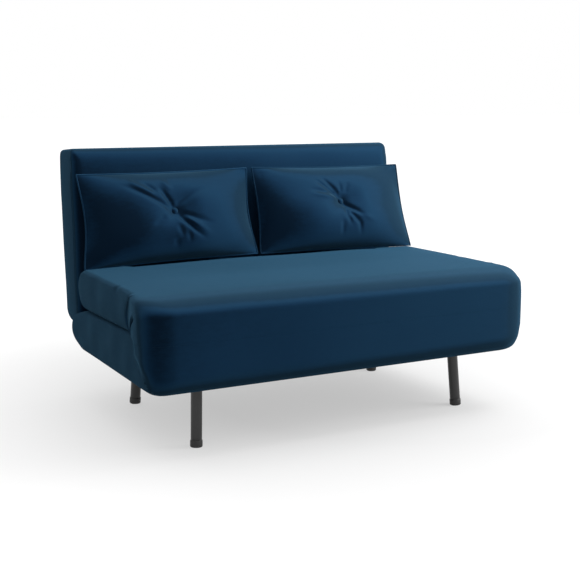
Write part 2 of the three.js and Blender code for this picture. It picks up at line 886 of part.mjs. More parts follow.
// A bracket on the rear of the back, and the short leg that hangs from it
function makeHangingLeg(side, way) {
  const faceV = backThickness / 2 + clearance;
  const half = hangPlateWidth / 2;
  const x = way * hangLegPlace;
  const lugStart = hangLegPlace + hangLegRadius + hangLugGap;
  const lug0 = Math.min(way * lugStart, way * (lugStart + hangPlateThickness));
  const plateLow = hangLegRise - hangPlateHeight / 2;
  const plate = box(
    x - half,
    x + half,
    faceV,
    faceV + hangPlateThickness,
    plateLow,
    plateLow + hangPlateHeight,
  );
  const lugReach = hangPivotV + hangLegRadius;
  const lug = box(
    lug0,
    lug0 + hangPlateThickness,
    faceV,
    lugReach,
    hangLegRise - hangLegRadius,
    hangLegRise + hangLegRadius,
  );
  const place = (along) => point(way * along, hangPivotV, hangLegRise);
  const headStart = hangLegPlace - hangLegRadius - clearance;
  const stud = rod(place(headStart - studHeadThickness), place(lugStart), studRadius, pinSides).add(
    rod(place(headStart - studHeadThickness), place(headStart), studHeadRadius, pinSides),
  );
  piece(`hang_bracket_${side}`, plate.add(lug).add(stud), blackSteel, backGroup);

  const hanging = new THREE.Group();
  hanging.position.set(x, hangPivotV, hangLegRise);
  hanging.rotation.x = lean;
  backGroup.add(hanging);
  const footStart = hangLegLength - swingFootHeight;
  const bore = rod(
    point(-2 * hangLegRadius, 0, 0),
    point(2 * hangLegRadius, 0, 0),
    studRadius + studClearance,
    pinSides,
  );
  const heel = hangPivotReach - hangPlateThickness - 2 * clearance;
  const wide = 2 * hangLegRadius;
  const overPivot = box(-wide, wide, -wide, wide, 0, wide);
  const roundHeel = rod(point(-wide, 0, 0), point(wide, 0, 0), heel, pinSides);
  const stem = rod(point(0, 0, heel), point(0, 0, clearance - footStart), hangLegRadius, pinSides);
  const leg = stem.subtract(overPivot.subtract(roundHeel)).subtract(bore);
  piece(`hang_leg_${side}`, leg, blackSteel, hanging);
  const foot = rod(point(0, 0, -footStart), point(0, 0, -hangLegLength), swingFootRadius, pinSides);
  piece(`hang_foot_${side}`, foot, rubber, hanging);
}

// Loose cushions, in the frame of the back: V towards the rear and U up along the back
const backFaceV = -backThickness / 2;

function cushionSeamV(up) {
  const share = (up + 1) / 2;
  return backFaceV - THREE.MathUtils.lerp(cushionBottomStandoff, cushionTopStandoff, share);
}

// The farthest forward that a cushion may reach at a height, clear of the swinging leaf
function swingLimitV(u) {
  const dy = hingeSetback - pivotDepth;
  const dz = hingeHeight - pivotHeight;
  const hingeV = dy * Math.cos(lean) - dz * Math.sin(lean);
  const hingeU = dy * Math.sin(lean) + dz * Math.cos(lean);
  const reach = Math.hypot(leafDepth - hingeSetback, leafBulgeHeight - hingeHeight);
  return hingeV + Math.sqrt((reach + cushionSwingGap) ** 2 - (u - hingeU) ** 2);
}

// Height of the stuffing over the seam's plane, at places that run from -1 to 1 across and up
function cushionCrown(crown, side, up) {
  const edge = (1 - Math.abs(side) ** cushionEdgePower) * (1 - up ** 2);
  const whole = crown * Math.max(edge, 0) ** cushionCrownPower;
  const dx = (side * cushionWidth) / 2;
  const dz = (up * cushionHeight) / 2;
  const away = Math.hypot(dx, dz);
  const dimple = tuftDepth * Math.exp(-away / tuftRadius);
  const fade = Math.max(away / tuftRadius, 0) * Math.exp(1 - away / tuftRadius);
  const folds = tuftFoldDepth * fade * (0.5 - 0.5 * Math.cos(tuftFolds * Math.atan2(dz, dx)));
  return Math.max(whole - dimple - folds * Math.min(whole / crown, 1), 0);
}

function cushionGeometry(middleX) {
  const columns = cushionStepsX + 1;
  const places = [];
  const rearIndex = new Map();
  const half = cushionWidth / 2;
  const rise = cushionHeight / 2;
  const spot = (i, j) => [(2 * i) / cushionStepsX - 1, (2 * j) / cushionStepsZ - 1];
  const outlineAt = (side, up) => [
    middleX + side * (half - cushionDrawnIn * (1 - up ** 2)),
    cushionRise + rise + up * (rise - cushionDrawnIn * (1 - side ** 2)),
  ];
  for (let j = 0; j <= cushionStepsZ; j++) {
    for (let i = 0; i <= cushionStepsX; i++) {
      const [side, up] = spot(i, j);
      const [x, u] = outlineAt(side, up);
      const bulge = cushionSeamV(up) - cushionCrown(cushionFrontCrown, side, up);
      places.push(x, Math.max(bulge, swingLimitV(u)), u);
    }
  }
  for (let j = 1; j < cushionStepsZ; j++) {
    for (let i = 1; i < cushionStepsX; i++) {
      const [side, up] = spot(i, j);
      const [x, u] = outlineAt(side, up);
      const bulge = cushionSeamV(up) + cushionCrown(cushionRearCrown, side, up);
      rearIndex.set(j * columns + i, places.length / 3);
      places.push(x, Math.min(bulge, backFaceV - clearance), u);
    }
  }
  const rear = (index) => (rearIndex.has(index) ? rearIndex.get(index) : index);
  const faces = [];
  for (let j = 0; j < cushionStepsZ; j++) {
    for (let i = 0; i < cushionStepsX; i++) {
      const a = j * columns + i;
      const b = a + 1;
      const c = b + columns;
      const d = a + columns;
      faces.push(a, b, c, a, c, d);
      faces.push(rear(a), rear(c), rear(b), rear(a), rear(d), rear(c));
    }
  }
  const geometry = new THREE.BufferGeometry();
  geometry.setAttribute("position", new THREE.Float32BufferAttribute(places, 3));
  geometry.setIndex(faces);
  return geometry;
}

function makeCushions() {
  for (const [side, way] of sides) {
    const x = (way * (cushionWidth + cushionGap)) / 2;
    const u = cushionRise + cushionHeight / 2;
    const seam = cushionSeamV(0);
    const dimple = seam - cushionCrown(cushionFrontCrown, 0, 0);
    const limit = swingLimitV(u - buttonRadius) + buttonThickness + clearance;
    const seats = [
      ["front", -1, Math.max(dimple, limit)],
      ["rear", 1, seam + cushionCrown(cushionRearCrown, 0, 0)],
    ];
    let cushion = solidOf(cushionGeometry(x));
    for (const [face, outward, seat] of seats) {
      const place = (reach) => point(x, seat + outward * reach, u);
      cushion = cushion.subtract(channel(place(0), place(tuftDepth), buttonRadius + clearance));
      const button = rod(place(clearance), place(clearance + buttonThickness), buttonRadius);
      piece(`button_${face}_${side}`, button, velvet, backGroup);
    }
    piece(`cushion_${side}`, cushion, velvet, backGroup);
  }
}

makeBase();
makeLegs();
makeLeaf();
makeBack();
makeCushions();

// The frame's origin is under the middle of the sofa, on the floor.
const bounds = new THREE.Box3().setFromObject(group, true);
group.position.set(
  -(bounds.min.x + bounds.max.x) / 2,
  -(bounds.min.y + bounds.max.y) / 2,
  -bounds.min.z,
);

export default group;
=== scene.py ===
import json
import math

import bpy
import numpy as np
from mathutils import Euler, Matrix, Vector


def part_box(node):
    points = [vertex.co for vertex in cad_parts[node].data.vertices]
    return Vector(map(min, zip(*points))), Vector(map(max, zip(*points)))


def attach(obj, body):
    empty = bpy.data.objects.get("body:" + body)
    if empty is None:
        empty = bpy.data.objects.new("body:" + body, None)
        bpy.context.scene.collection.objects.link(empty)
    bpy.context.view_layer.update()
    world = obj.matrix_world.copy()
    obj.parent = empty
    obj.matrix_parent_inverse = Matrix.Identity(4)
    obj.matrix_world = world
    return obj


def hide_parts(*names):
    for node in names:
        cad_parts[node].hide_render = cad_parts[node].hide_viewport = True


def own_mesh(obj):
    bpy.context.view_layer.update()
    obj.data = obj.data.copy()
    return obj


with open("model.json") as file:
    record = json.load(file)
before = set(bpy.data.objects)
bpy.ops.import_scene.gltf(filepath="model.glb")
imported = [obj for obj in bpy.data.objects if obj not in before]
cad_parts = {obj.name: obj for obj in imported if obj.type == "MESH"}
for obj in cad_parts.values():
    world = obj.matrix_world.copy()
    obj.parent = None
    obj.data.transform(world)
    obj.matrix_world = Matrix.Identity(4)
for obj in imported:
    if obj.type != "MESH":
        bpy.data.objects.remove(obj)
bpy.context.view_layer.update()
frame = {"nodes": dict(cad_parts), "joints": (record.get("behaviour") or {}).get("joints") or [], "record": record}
SCENE = bpy.context.scene

# Places taken from the frame
COVER_LOW, COVER_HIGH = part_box("front_cover")
FRONT = COVER_LOW.y
HALF = COVER_HIGH.x
UNDER = COVER_LOW.z
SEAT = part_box("leaf_pad_seat")[1].z
LEAF_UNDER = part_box("leaf_pad_bed")[0].z
LEAF_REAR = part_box("leaf_pad_seat")[1].y
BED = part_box("lower_pad")[1].z
BASE_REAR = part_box("rear_rail")[1].y
BACK_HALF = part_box("back_pad_front")[1].x
JOINTS = {joint["name"]: joint for joint in frame["joints"]}
PIVOT = Vector(JOINTS["back_recline"]["pos_m"])
BACK_UP = Vector(JOINTS["cushion_lift_left"]["axis"])
LEAN = math.atan2(BACK_UP.y, BACK_UP.z)
LEAN_SIN, LEAN_COS = math.sin(LEAN), math.cos(LEAN)

# Photograph's view
CAMERA_PLACE = (-1.5789, -3.0218, 0.9654)
CAMERA_TILT = (79.95, 0.0, -28.09)
CAMERA_LENS = 65.51
SENSOR = 36.0

# Seat layers, their side outline
TOP_RADIUS = 0.046  # height of the rounded front top edge, and how far it runs to the rear
TOP_RUN = 0.102
BOTTOM_RADIUS = 0.052
LEAF_BULGE_DROP = 0.056
LEAF_TOP_RUN = 0.065
LEAF_FOOT_RUN = 0.061
NOSE_RISE = 0.050
NOSE_TOP_RUN = 0.180
NOSE_BOTTOM_RUN = 0.117
BASE_PAD = 0.003  # padding behind the rear rail
HALF_GAP = 0.0005  # half the space between the solids of the two layers
CRACK = 0.0001
HINGE_STRIP = 0.0125
HINGE_DIP = 0.002

# Seat layers, their mesh
FINE_STEP = 0.0035
WIDE_STEP = 0.010
STATION_STEP = 0.012
FINE_DEPTH = 0.220
EDGE_STEPS = 9
LAYER_LONG = 132
LAYER_HIGH = 42

# Seat layers, their ends. A pair is where a change starts and where it is done.
CORNER_DRAW = 0.058
CORNER_REACH = 0.060
CORNER_FADE = 0.220
AFT_END = 0.60
AFT_REACH = 0.002
END_DRAW = 0.011
END_REACH = 0.013
END_TOP_DRAW = 0.009
FORE_TOP_DRAW = 0.014
TOP_BLEND = 0.060
UNDER_BLEND = 0.040
REAR_BLEND = 0.05
BAND = 0.030
SPLIT_RUN = (0.146, 0.172)
PANEL_PROUD = 0.029
PANEL_STEP = (-0.0035, 0.0030)
PANEL_FILL = (0.0, 0.055)
PANEL_FADE = (0.06, 0.23)
FOLD_TURN = (0.322, 0.336)  # heights between which the panel's border turns into a fold
FOLD_END = (0.80, 1.0)
GROOVE_LOWER, GROOVE_FOLD = 0.0060, 0.0120
GROOVE_LOWER_WIDTH, GROOVE_FOLD_WIDTH = 0.0040, 0.0060
GROOVE_PLACE = 0.002
LIP = 0.0022
LIP_FRONT, LIP_FRONT_WIDTH = 0.009, 0.0065
LIP_REAR, LIP_REAR_WIDTH = 0.014, 0.007
RIDGE, RIDGE_WIDTH = 0.0048, 0.0042
RIDGE_DIP_PLACE, RIDGE_DIP_WIDTH = 0.011, 0.007
RIDGE_START = (-0.3, 0.1)
ROUND_SWELL, ROUND_HALF = 0.0030, 0.062
ROUND_RUN = (0.16, 0.24)
RIPPLE_HIGH = 0.0010
END_PROUD = 0.0010
FLAT_END = 0.004
RIGHT_SWELL = 0.010  # the right end is fuller round its front corner
RIGHT_EDGE = 0.06
RIGHT_MIDDLE, RIGHT_HALF = 0.27, 0.15
RIGHT_FADE = (0.2, 0.4)
DIMPLE, DIMPLE_PLACE, DIMPLE_WIDTH = 0.005, 0.306, 0.012

# Seat layers, their faces
SEAT_CROWN = 0.0070
CROWN_MARGIN = 0.02
CROWN_MIDDLE, CROWN_HALF = 0.34, 0.33
REAR_RISE = 0.0075
REAR_RISE_RUN = (0.30, 0.54)
RIGHT_LIFT = 0.0020
RIGHT_LIFT_FROM, RIGHT_LIFT_TO = 0.15, 0.01
RIGHT_LIFT_RUN = (0.06, 0.25)
WAVE_LENGTH, WAVE_HIGH = 0.34, 0.0008
RIPPLE_LENGTH = 0.11
WAVE_START = (0.05, 0.15)
LINE_RISE, LINE_FALL = 0.0035, 0.0075  # the dividing line climbs, then falls to the rear
LINE_FALL_RUN = (0.15, 0.62)
SAG = 0.0055
FRONT_SAG = 0.0085
FRONT_SAG_RUN = (0.06, 0.20)
TRAY_SIDE, TRAY_SLOPE = 0.022, 0.010  # the underside rests flat on the frame inside these
TRAY_FRONT = (0.062, 0.074)
TRAY_REAR = (0.640, 0.654)
TRAY_LIFT = 0.0018
FACE_RUN = 0.03
FACE_BELLY, FACE_WAVE = 0.0015, 0.0009
BAY_HALF = 0.472  # room for the swing legs in the leaf's rear edge
BAY_SIDE = 0.012
BAY_DEPTH = 0.035
BAY_FROM, BAY_TO = 0.115, 0.034
LEAF_KEEP = 0.9783  # share of a layer's depth that is left when the bed is open
BASE_KEEP = 0.9805

# Back
BACK_THICK = 0.152
BACK_TOP = 0.568
BACK_LOW = 0.004
BACK_HEEL = 0.042
BACK_FRONT_DROP = 0.082
BACK_FRONT_RUN = 0.040
BACK_REAR_RADIUS = 0.020
BACK_HIGH_STEPS = 64
BACK_DEEP_STEPS = 26
BACK_STATIONS = 90
BACK_DRAW, BACK_FRONT_DRAW = 0.008, 0.016
BACK_FORE, BACK_CREST = 0.05, 0.04
BACK_CROWN, BACK_WAVE = 0.003, 0.0012
BACK_MIDDLE, BACK_REACH = 0.28, 0.29
BACK_SWELL_TOP = 0.566
BACK_SWELL_LEFT, BACK_SWELL_RIGHT = 0.0095, 0.0130
BACK_SWELL_RUN_LEFT, BACK_SWELL_RUN_RIGHT = 0.14, 0.05
BACK_END = 0.03
BACK_END_WAVE = 0.0010

# Cushions
CUSHION_COLUMNS = 96
CUSHION_ROWS = 52
CUSHION_HALF = 0.3
CUSHION_RISE = 0.15
FRONT_CROWN = 0.070
REAR_CROWN = 0.056
TOP_BOW, FOOT_BOW = 0.004, 0.005
BODY_DROP = 0.14  # the fullest line lies below the middle
TUFT_DEPTH = 0.026
TUFT_REACH = 0.036
REAR_TUFT = 0.6
HELD_RADIUS = 0.013
PUFF_SEAM, PUFF_BODY = 0.004, 0.018
PUFF_SIDE, PUFF_FOOT = 0.085, 0.075
PUFF_FRAMES = 20
CLOTH = {
    "quality": 6,
    "mass": 0.25,
    "tension_stiffness": 12,
    "compression_stiffness": 12,
    "shear_stiffness": 4,
    "bending_stiffness": 0.6,
    "use_pressure": True,
    "uniform_pressure_force": 4.0,
    "vertex_group_mass": "held",
}
RIM_SIDE, RIM_FOOT = 0.10, 0.14
CUSHION_WAVE = 0.0014
BACK_CLEAR = 0.0105
BACK_SQUEEZE = 0.006
SEAT_CLEAR = 0.0007
SEAM_CLEAR = 0.0004
SEAM_RADIUS = 0.0024
SEAM_GUIDE = (0.0, 0.97, -0.2)
BUTTON_HOLE = 0.012

# Legs
FOOT_RADIUS = 0.018
SPLAY_X, SPLAY_Y = 0.010, 0.015
PLATE_HALF = 0.038
PLATE_CORNER = 0.008
PLATE_THICK = 0.004
PLATE_LIFT = 0.0025
PLATE_CHAMFER_LOW, PLATE_CHAMFER_HIGH = 0.0010, 0.0012
SCREW_PLACE = 0.028
FLOOR_GAP = 0.0002

# Floor, sky and lamps
FLOOR_REACH = 60.0
# Round this spot the floor's glow seen from the camera is dimmer: painted shade round the sofa, beside the lamps'
# real shadow; far off the glow makes the floor white
PAINTED_SHADE_SPOT = (0.45, 0.0, 0.0)
FLOOR_PAINTED_SHADE_NEAR, FLOOR_PAINTED_SHADE_FAR = (0.7, 0.49), (2.2, 0.84)  # distance from that spot, and glow there
FLOOR_SEEN = 0.30
FLOOR_PLAIN = 0.20
SKY_WAY = (0.70, -0.45, 0.55)
SKY_DARK = 0.13
SKY_BRIGHT = 0.75
KEY_WAY, KEY_SPREAD, KEY_POWER = (0.05, 0.40, 0.92), 80, 1.6
PANELS = [  # name, place, aim, size and power
    ("fill", (2.6, -1.3, 1.6), (0.2, 0.0, 0.45), 1.6, 66),
    ("top", (1.4, -0.35, 1.75), (0.2, 0.0, 0.5), 0.9, 18),
]


# Helpers for outlines: each is a row of (y, z) points
def line(start, end, count=40):
    share = np.linspace(0, 1, count)[:, None]
    return np.array(start) * (1 - share) + np.array(end) * share


def arc(centre, radius, start, end, count=60):
    angle = np.radians(np.linspace(start, end, count))
    return np.array(centre) + radius * np.stack([np.cos(angle), np.sin(angle)], 1)


def curve(start, handle_a, handle_b, end, count=80):
    t = np.linspace(0, 1, count)[:, None]
    points = [np.array(p) for p in (start, handle_a, handle_b, end)]
    weights = [(1 - t) ** 3, 3 * t * (1 - t) ** 2, 3 * t**2 * (1 - t), t**3]
    return sum(w * p for w, p in zip(weights, points))


def chain(*parts):
    rows = [parts[0]]
    for part in parts[1:]:
        rows.append(part[1:])
    return np.concatenate(rows)


def resample(points, count, step=None):
    """Spreads count points along a path, closer together where step(point) is small."""
    points = np.asarray(points, float)
    gaps = np.linalg.norm(np.diff(points, axis=0), axis=1)
    if step is None:
        cost = gaps
    else:
        middles = (points[1:] + points[:-1]) / 2
        cost = gaps / np.array([step(p) for p in middles])
    along = np.concatenate([[0], np.cumsum(cost)])
    wanted = np.linspace(0, along[-1], count)
    return np.stack([np.interp(wanted, along, points[:, k]) for k in (0, 1)], 1)


def sample_sides(sides, high, deep, step=None):
    """Spreads points over the front, top, rear and bottom of a side outline."""
    steps = (None, step) * 2
    return [resample(side, n, way) for side, n, way in zip(sides, (high, deep) * 2, steps)]


def smooth(value, low, high):
    share = np.clip((value - low) / (high - low), 0, 1)
    return share * share * (3 - 2 * share)


def bell(value, width):
    return np.exp(-((value / width) ** 2))


def hump(share, power):
    return np.clip(1 - np.abs(share) ** power, 0, 1)


def path_distance(u, v, path):
    """Distance from a path, its side (below 0 in front) and how far along it, 0 to 1."""
    path = np.array(path)
    lengths = np.linalg.norm(np.diff(path, axis=0), axis=1)
    nearest = np.full(len(u), 1e9)
    side = np.zeros(len(u))
    place = np.zeros(len(u))
    done = 0.0
    for start, end, length in zip(path[:-1], path[1:], lengths):
        du, dv = (end - start) / length
        run = np.clip((u - start[0]) * du + (v - start[1]) * dv, 0, length)
        off_u, off_v = u - start[0] - run * du, v - start[1] - run * dv
        away = np.hypot(off_u, off_v)
        closer = away < nearest
        nearest[closer] = away[closer]
        side[closer] = np.sign(off_u * dv - off_v * du)[closer]
        place[closer] = ((done + run) / lengths.sum())[closer]
        done += length
    return nearest, side, place


class Waves:
    """Soft, repeatable waviness in space: a sum of slanted waves drawn from a seed."""

    def __init__(self, seed, length, count=14):
        chance = np.random.default_rng(seed)
        ways = chance.normal(size=(count, 3))
        ways /= np.linalg.norm(ways, axis=1)[:, None]
        self.ways = ways * (2 * math.pi / (length * chance.uniform(0.7, 1.6, count)))[:, None]
        self.phases = chance.uniform(0, 2 * math.pi, count)
        self.scale = 1 / math.sqrt(count / 2)

    def __call__(self, places):
        return np.sin(places @ self.ways.T + self.phases).sum(1) * self.scale


# Meshes
def make_piece(name, vertices, faces, material, angle=None):
    mesh = bpy.data.meshes.new(name)
    mesh.from_pydata(np.asarray(vertices).tolist(), [], [[int(i) for i in f] for f in faces])
    mesh.validate()
    mesh.update()
    mesh.shade_smooth()
    if angle is not None:
        mesh.set_sharp_from_angle(angle=math.radians(angle))
    mesh.materials.append(material)
    piece = bpy.data.objects.new(name, mesh)
    SCENE.collection.objects.link(piece)
    return piece


def get_places(piece):
    places = np.empty(len(piece.data.vertices) * 3)
    piece.data.vertices.foreach_get("co", places)
    return places.reshape(-1, 3)


def set_places(piece, places):
    piece.data.vertices.foreach_set("co", np.ascontiguousarray(places, dtype=np.float32).ravel())
    piece.data.update()


def ring_faces(rows, count, looped=False):
    """Quads between rows of points. In a loop, the last row joins the first."""
    faces = []
    for row in range(rows if looped else rows - 1):
        low, high = row * count, (row + 1) % rows * count
        for k in range(count):
            m = (k + 1) % count
            faces.append((low + k, low + m, high + m, high + k))
    return faces


def quads(index):
    """Quads over a grid of point numbers."""
    corners = (index[:-1, :-1], index[:-1, 1:], index[1:, 1:], index[1:, :-1])
    return np.stack(corners, 2).reshape(-1, 4)


def ring_normals(ring):
    way = np.roll(ring, -1, axis=0) - np.roll(ring, 1, axis=0)
    way /= np.linalg.norm(way, axis=1)[:, None]
    return np.stack([-way[:, 1], way[:, 0]], 1)


def coons(front, top, rear, bottom):
    """A grid over the space inside four joined sides, as rows from the front to the rear."""
    low, high = bottom[::-1], top
    left, right = front, rear[::-1]

    def shares(a, b):
        steps = sum(np.linalg.norm(np.diff(path, axis=0), axis=1) for path in (a, b))
        along = np.concatenate([[0], np.cumsum(steps)])
        return along / along[-1]

    u = shares(low, high)[:, None, None]
    v = shares(left, right)[None, :, None]
    across = (1 - v) * low[:, None] + v * high[:, None] + (1 - u) * left + u * right
    corners = (1 - u) * (1 - v) * low[0] + u * (1 - v) * low[-1]
    corners = corners + (1 - u) * v * high[0] + u * v * high[-1]
    return across - corners


def loft_pad(name, sides, half, edge, material, stations, bulge=0.0, shape=None, angle=None):
    """A pad with the same side outline from end to end, and rounded edges round both ends.
    sides are the front, top, rear and bottom, each a row of points, joined clockwise into a ring.
    edge(ring) says how far each ring point moves at the very end, and over what length in X."""
    front, top, rear, bottom = sides
    ring = np.concatenate([front[:-1], top[:-1], rear[:-1], bottom[:-1]])
    count = len(ring)
    move, reach = edge(ring)
    flat = np.linspace(-1, 1, stations) * (half - reach.max())
    angles = np.linspace(0, math.pi / 2, EDGE_STEPS + 1)

    def end_row(end, turn):
        x = end * (half - reach * (1 - math.sin(turn)))
        return x, ring + move * (1 - math.cos(turn))

    rows = [end_row(-1, turn) for turn in angles[::-1]]
    rows += [(np.full(count, x), ring) for x in flat[1:-1]]
    rows += [end_row(1, turn) for turn in angles]
    vertices = [np.concatenate([x[:, None], yz], 1) for x, yz in rows]
    faces = [np.array(ring_faces(len(rows), count))]
    total = len(rows) * count
    k, m = len(front), len(top)
    border = np.full((m, k), -1)
    border[0, :] = np.arange(k)
    border[:, k - 1] = (k - 1) + np.arange(m)
    border[m - 1, ::-1] = (k - 1) + (m - 1) + np.arange(k)
    border[::-1, 0] = ((k - 1) * 2 + (m - 1) + np.arange(m)) % count
    starts = [0, k - 1, k + m - 2, 2 * k + m - 3, count]
    u = np.linspace(0, 1, m)[:, None]
    v = np.linspace(0, 1, k)[None, :]
    swell = bulge * (16 * u * (1 - u) * v * (1 - v)) ** 0.5
    for end, row in ((-1, 0), (1, len(rows) - 1)):
        drawn = rows[row][1]
        closed = np.concatenate([drawn, drawn[:1]])
        grid = coons(*[closed[starts[n] : starts[n + 1] + 1] for n in range(4)])
        index = border + row * count
        inner = border < 0
        index[inner] = total + np.arange(inner.sum())
        total += inner.sum()
        points = np.concatenate([(end * (half + swell))[:, :, None], grid], 2)
        vertices.append(points[inner])
        faces.append(quads(index.T)[:, :: end])
    vertices = np.concatenate(vertices)
    if shape is not None:
        vertices = shape(vertices)
    return make_piece(name, vertices, np.concatenate(faces), material, angle)


# Materials
def new_material(name):
    material = bpy.data.materials.new(name)
    material.use_nodes = True
    tree = material.node_tree
    shader = tree.nodes["Principled BSDF"]
    return material, tree, shader


def feed(tree, node, inputs):
    """Sets a node's inputs: a socket is linked, and anything else is the input's value."""
    for key, value in dict(inputs).items():
        if isinstance(value, bpy.types.NodeSocket):
            tree.links.new(value, node.inputs[key])
        else:
            node.inputs[key].default_value = value


def add_node(tree, kind, inputs=(), **settings):
    node = tree.nodes.new(kind)
    for key, value in settings.items():
        setattr(node, key, value)
    feed(tree, node, inputs)
    return node


def object_space(tree, scale=(1, 1, 1)):
    where = add_node(tree, "ShaderNodeTexCoord").outputs["Object"]
    inputs = {"Vector": where, "Scale": scale}
    return add_node(tree, "ShaderNodeMapping", inputs).outputs["Vector"]


def noise(tree, where, scale, detail=2.0, roughness=0.5):
    inputs = {"Vector": where, "Scale": scale, "Detail": detail, "Roughness": roughness}
    return add_node(tree, "ShaderNodeTexNoise", inputs).outputs["Fac"]


def combine(tree, operation, first, second):
    inputs = {0: first, 1: second}
    return add_node(tree, "ShaderNodeMath", inputs, operation=operation).outputs[0]


def remap(tree, value, to_min, to_max, from_min=0.0, from_max=1.0):
    inputs = {"Value": value, "From Min": from_min, "From Max": from_max}
    inputs.update({"To Min": to_min, "To Max": to_max})
    return add_node(tree, "ShaderNodeMapRange", inputs).outputs[0]


def bump(tree, height, strength, distance):
    inputs = {"Height": height, "Strength": strength, "Distance": distance}
    return add_node(tree, "ShaderNodeBump", inputs).outputs["Normal"]


def color_ramp(tree, factor, stops):
    """Colours by a factor. Stops are a position and a colour each, in rising order."""
    ramp = add_node(tree, "ShaderNodeValToRGB", {"Fac": factor})
    elements = ramp.color_ramp.elements
    for index in (0, -1):
        elements[index].position = stops[index][0]
        elements[index].color = (*stops[index][1], 1)
    for position, color in stops[1:-1]:
        elements.new(position).color = (*color, 1)
    return ramp.outputs["Color"]


def blend_colors(tree, factor, first, second):
    return color_ramp(tree, factor, [(0.3, first), (0.7, second)])


def velvet(name, stops):
    material, tree, shader = new_material(name)
    where = object_space(tree)
    patches = noise(tree, where, 5.0, 3.0)
    strokes = noise(tree, object_space(tree, (1, 1, 2.5)), 38.0, 3.0, 0.6)
    pile = noise(tree, where, 620.0, 3.0, 0.7)
    grain = combine(tree, "ADD", combine(tree, "ADD", patches, strokes), pile)
    shift = remap(tree, grain, -0.035, 0.035, 0.9, 2.1)
    # The pile's own sheen: its tips catch light across the surface, and it is deep face on
    glance = add_node(tree, "ShaderNodeLayerWeight", {"Blend": 0.5}).outputs["Facing"]
    inputs = {
        "Base Color": color_ramp(tree, combine(tree, "ADD", glance, shift), stops),
        "Roughness": remap(tree, strokes, 0.72, 0.95),
        "Normal": bump(tree, pile, 0.5, 0.0006),
        "Specular IOR Level": 0.02,
        "Sheen Weight": 0.16,
        "Sheen Roughness": 0.5,
        "Sheen Tint": (0.20, 0.60, 1.0, 1),
    }
    feed(tree, shader, inputs)
    return material


def painted_steel(name, color, roughness):
    material, tree, shader = new_material(name)
    where = object_space(tree)
    grain = noise(tree, where, 420.0)
    cloud = noise(tree, where, 12.0)
    inputs = {
        "Base Color": blend_colors(tree, cloud, color, [c * 1.35 for c in color]),
        "Roughness": remap(tree, cloud, roughness - 0.06, roughness + 0.08),
        "Normal": bump(tree, grain, 0.25, 0.0003),
    }
    feed(tree, shader, inputs)
    return material


def zinc(name):
    material, tree, shader = new_material(name)
    cells = {"Vector": object_space(tree), "Scale": 90.0}
    spangle = add_node(tree, "ShaderNodeTexVoronoi", cells).outputs["Color"]
    bright = add_node(tree, "ShaderNodeRGBToBW", {"Color": spangle}).outputs[0]
    inputs = {
        "Base Color": blend_colors(tree, bright, (0.40, 0.41, 0.42), (0.58, 0.59, 0.60)),
        "Roughness": remap(tree, bright, 0.32, 0.46),
        "Metallic": 1.0,
    }
    feed(tree, shader, inputs)
    return material


def plywood(name, dark, pale, stretch):
    material, tree, shader = new_material(name)
    where = object_space(tree, stretch)
    rings = noise(tree, where, 9.0, 6.0, 0.65)
    fibres = noise(tree, where, 90.0)
    factor = remap(tree, combine(tree, "ADD", rings, fibres), 0.0, 1.0, 0.6, 1.4)
    inputs = {
        "Base Color": blend_colors(tree, factor, dark, pale),
        "Roughness": 0.7,
        "Normal": bump(tree, fibres, 0.3, 0.0005),
    }
    feed(tree, shader, inputs)
    return material


def felt(name, dark, pale):
    material, tree, shader = new_material(name)
    fibre = noise(tree, object_space(tree), 300.0, 4.0, 0.7)
    inputs = {
        "Base Color": blend_colors(tree, fibre, dark, pale),
        "Roughness": 0.95,
        "Normal": bump(tree, fibre, 0.6, 0.0008),
    }
    feed(tree, shader, inputs)
    return material


VELVET_STOPS = [
    (0.02, (0.0031, 0.0123, 0.0292)),
    (0.06, (0.0048, 0.0218, 0.0515)),
    (0.12, (0.0071, 0.0315, 0.0735)),
    (0.22, (0.0094, 0.0395, 0.0850)),
    (0.30, (0.0090, 0.0345, 0.0730)),
    (0.36, (0.0076, 0.0262, 0.0515)),
    (0.50, (0.0082, 0.0258, 0.0475)),
    (0.62, (0.0118, 0.0360, 0.0655)),
    (0.71, (0.0100, 0.0312, 0.0565)),
    (0.78, (0.0082, 0.0290, 0.0520)),
    (0.85, (0.0088, 0.0318, 0.0575)),
    (0.93, (0.0108, 0.0390, 0.0710)),
]
VELVET = velvet("velvet", VELVET_STOPS)
# A copy of the velvet 1.5 times brighter: painted rim light, for the seam bead of the left cushion
PAINTED_RIM_STOPS = [(at, tuple(1.5 * c for c in color)) for at, color in VELVET_STOPS]
VELVET_PAINTED_RIM = velvet("velvet_painted_rim", PAINTED_RIM_STOPS)
BLACK_STEEL = painted_steel("black_steel", (0.016, 0.016, 0.016), 0.34)
FOOT_PLASTIC = painted_steel("foot_plastic", (0.016, 0.016, 0.016), 0.55)
ZINC = zinc("zinc_steel")
TIMBER = plywood("timber", (0.42, 0.27, 0.13), (0.62, 0.44, 0.25), (0.25, 1, 1))
SLAT_WOOD = plywood("slat_wood", (0.55, 0.40, 0.24), (0.72, 0.56, 0.36), (1, 0.25, 1))
LINING = felt("lining", (0.012, 0.013, 0.015), (0.030, 0.032, 0.036))

NODE_MATERIALS = {
    "timber": TIMBER,
    "slat_wood": SLAT_WOOD,
    "zinc_steel": ZINC,
    "black_steel": BLACK_STEEL,
    "foot_plastic": FOOT_PLASTIC,
    "lining": LINING,
    "velvet": VELVET,
}
for subpart in frame["record"]["subparts"]:
    node = frame["nodes"][subpart["node"]]
    node.data.materials.clear()
    node.data.materials.append(NODE_MATERIALS[subpart["material_slot"]])


# The two seat layers
def depth_step(point):
    return FINE_STEP if point[0] < FRONT + FINE_DEPTH else WIDE_STEP


def hinge_strip(height, dip):
    """The shallow dip beside the hinge line, from the front face to the rear."""
    lowest = (FRONT + HINGE_STRIP, height + dip)
    return chain(line((FRONT, height), lowest), line(lowest, (FRONT + 2 * HINGE_STRIP, height)))


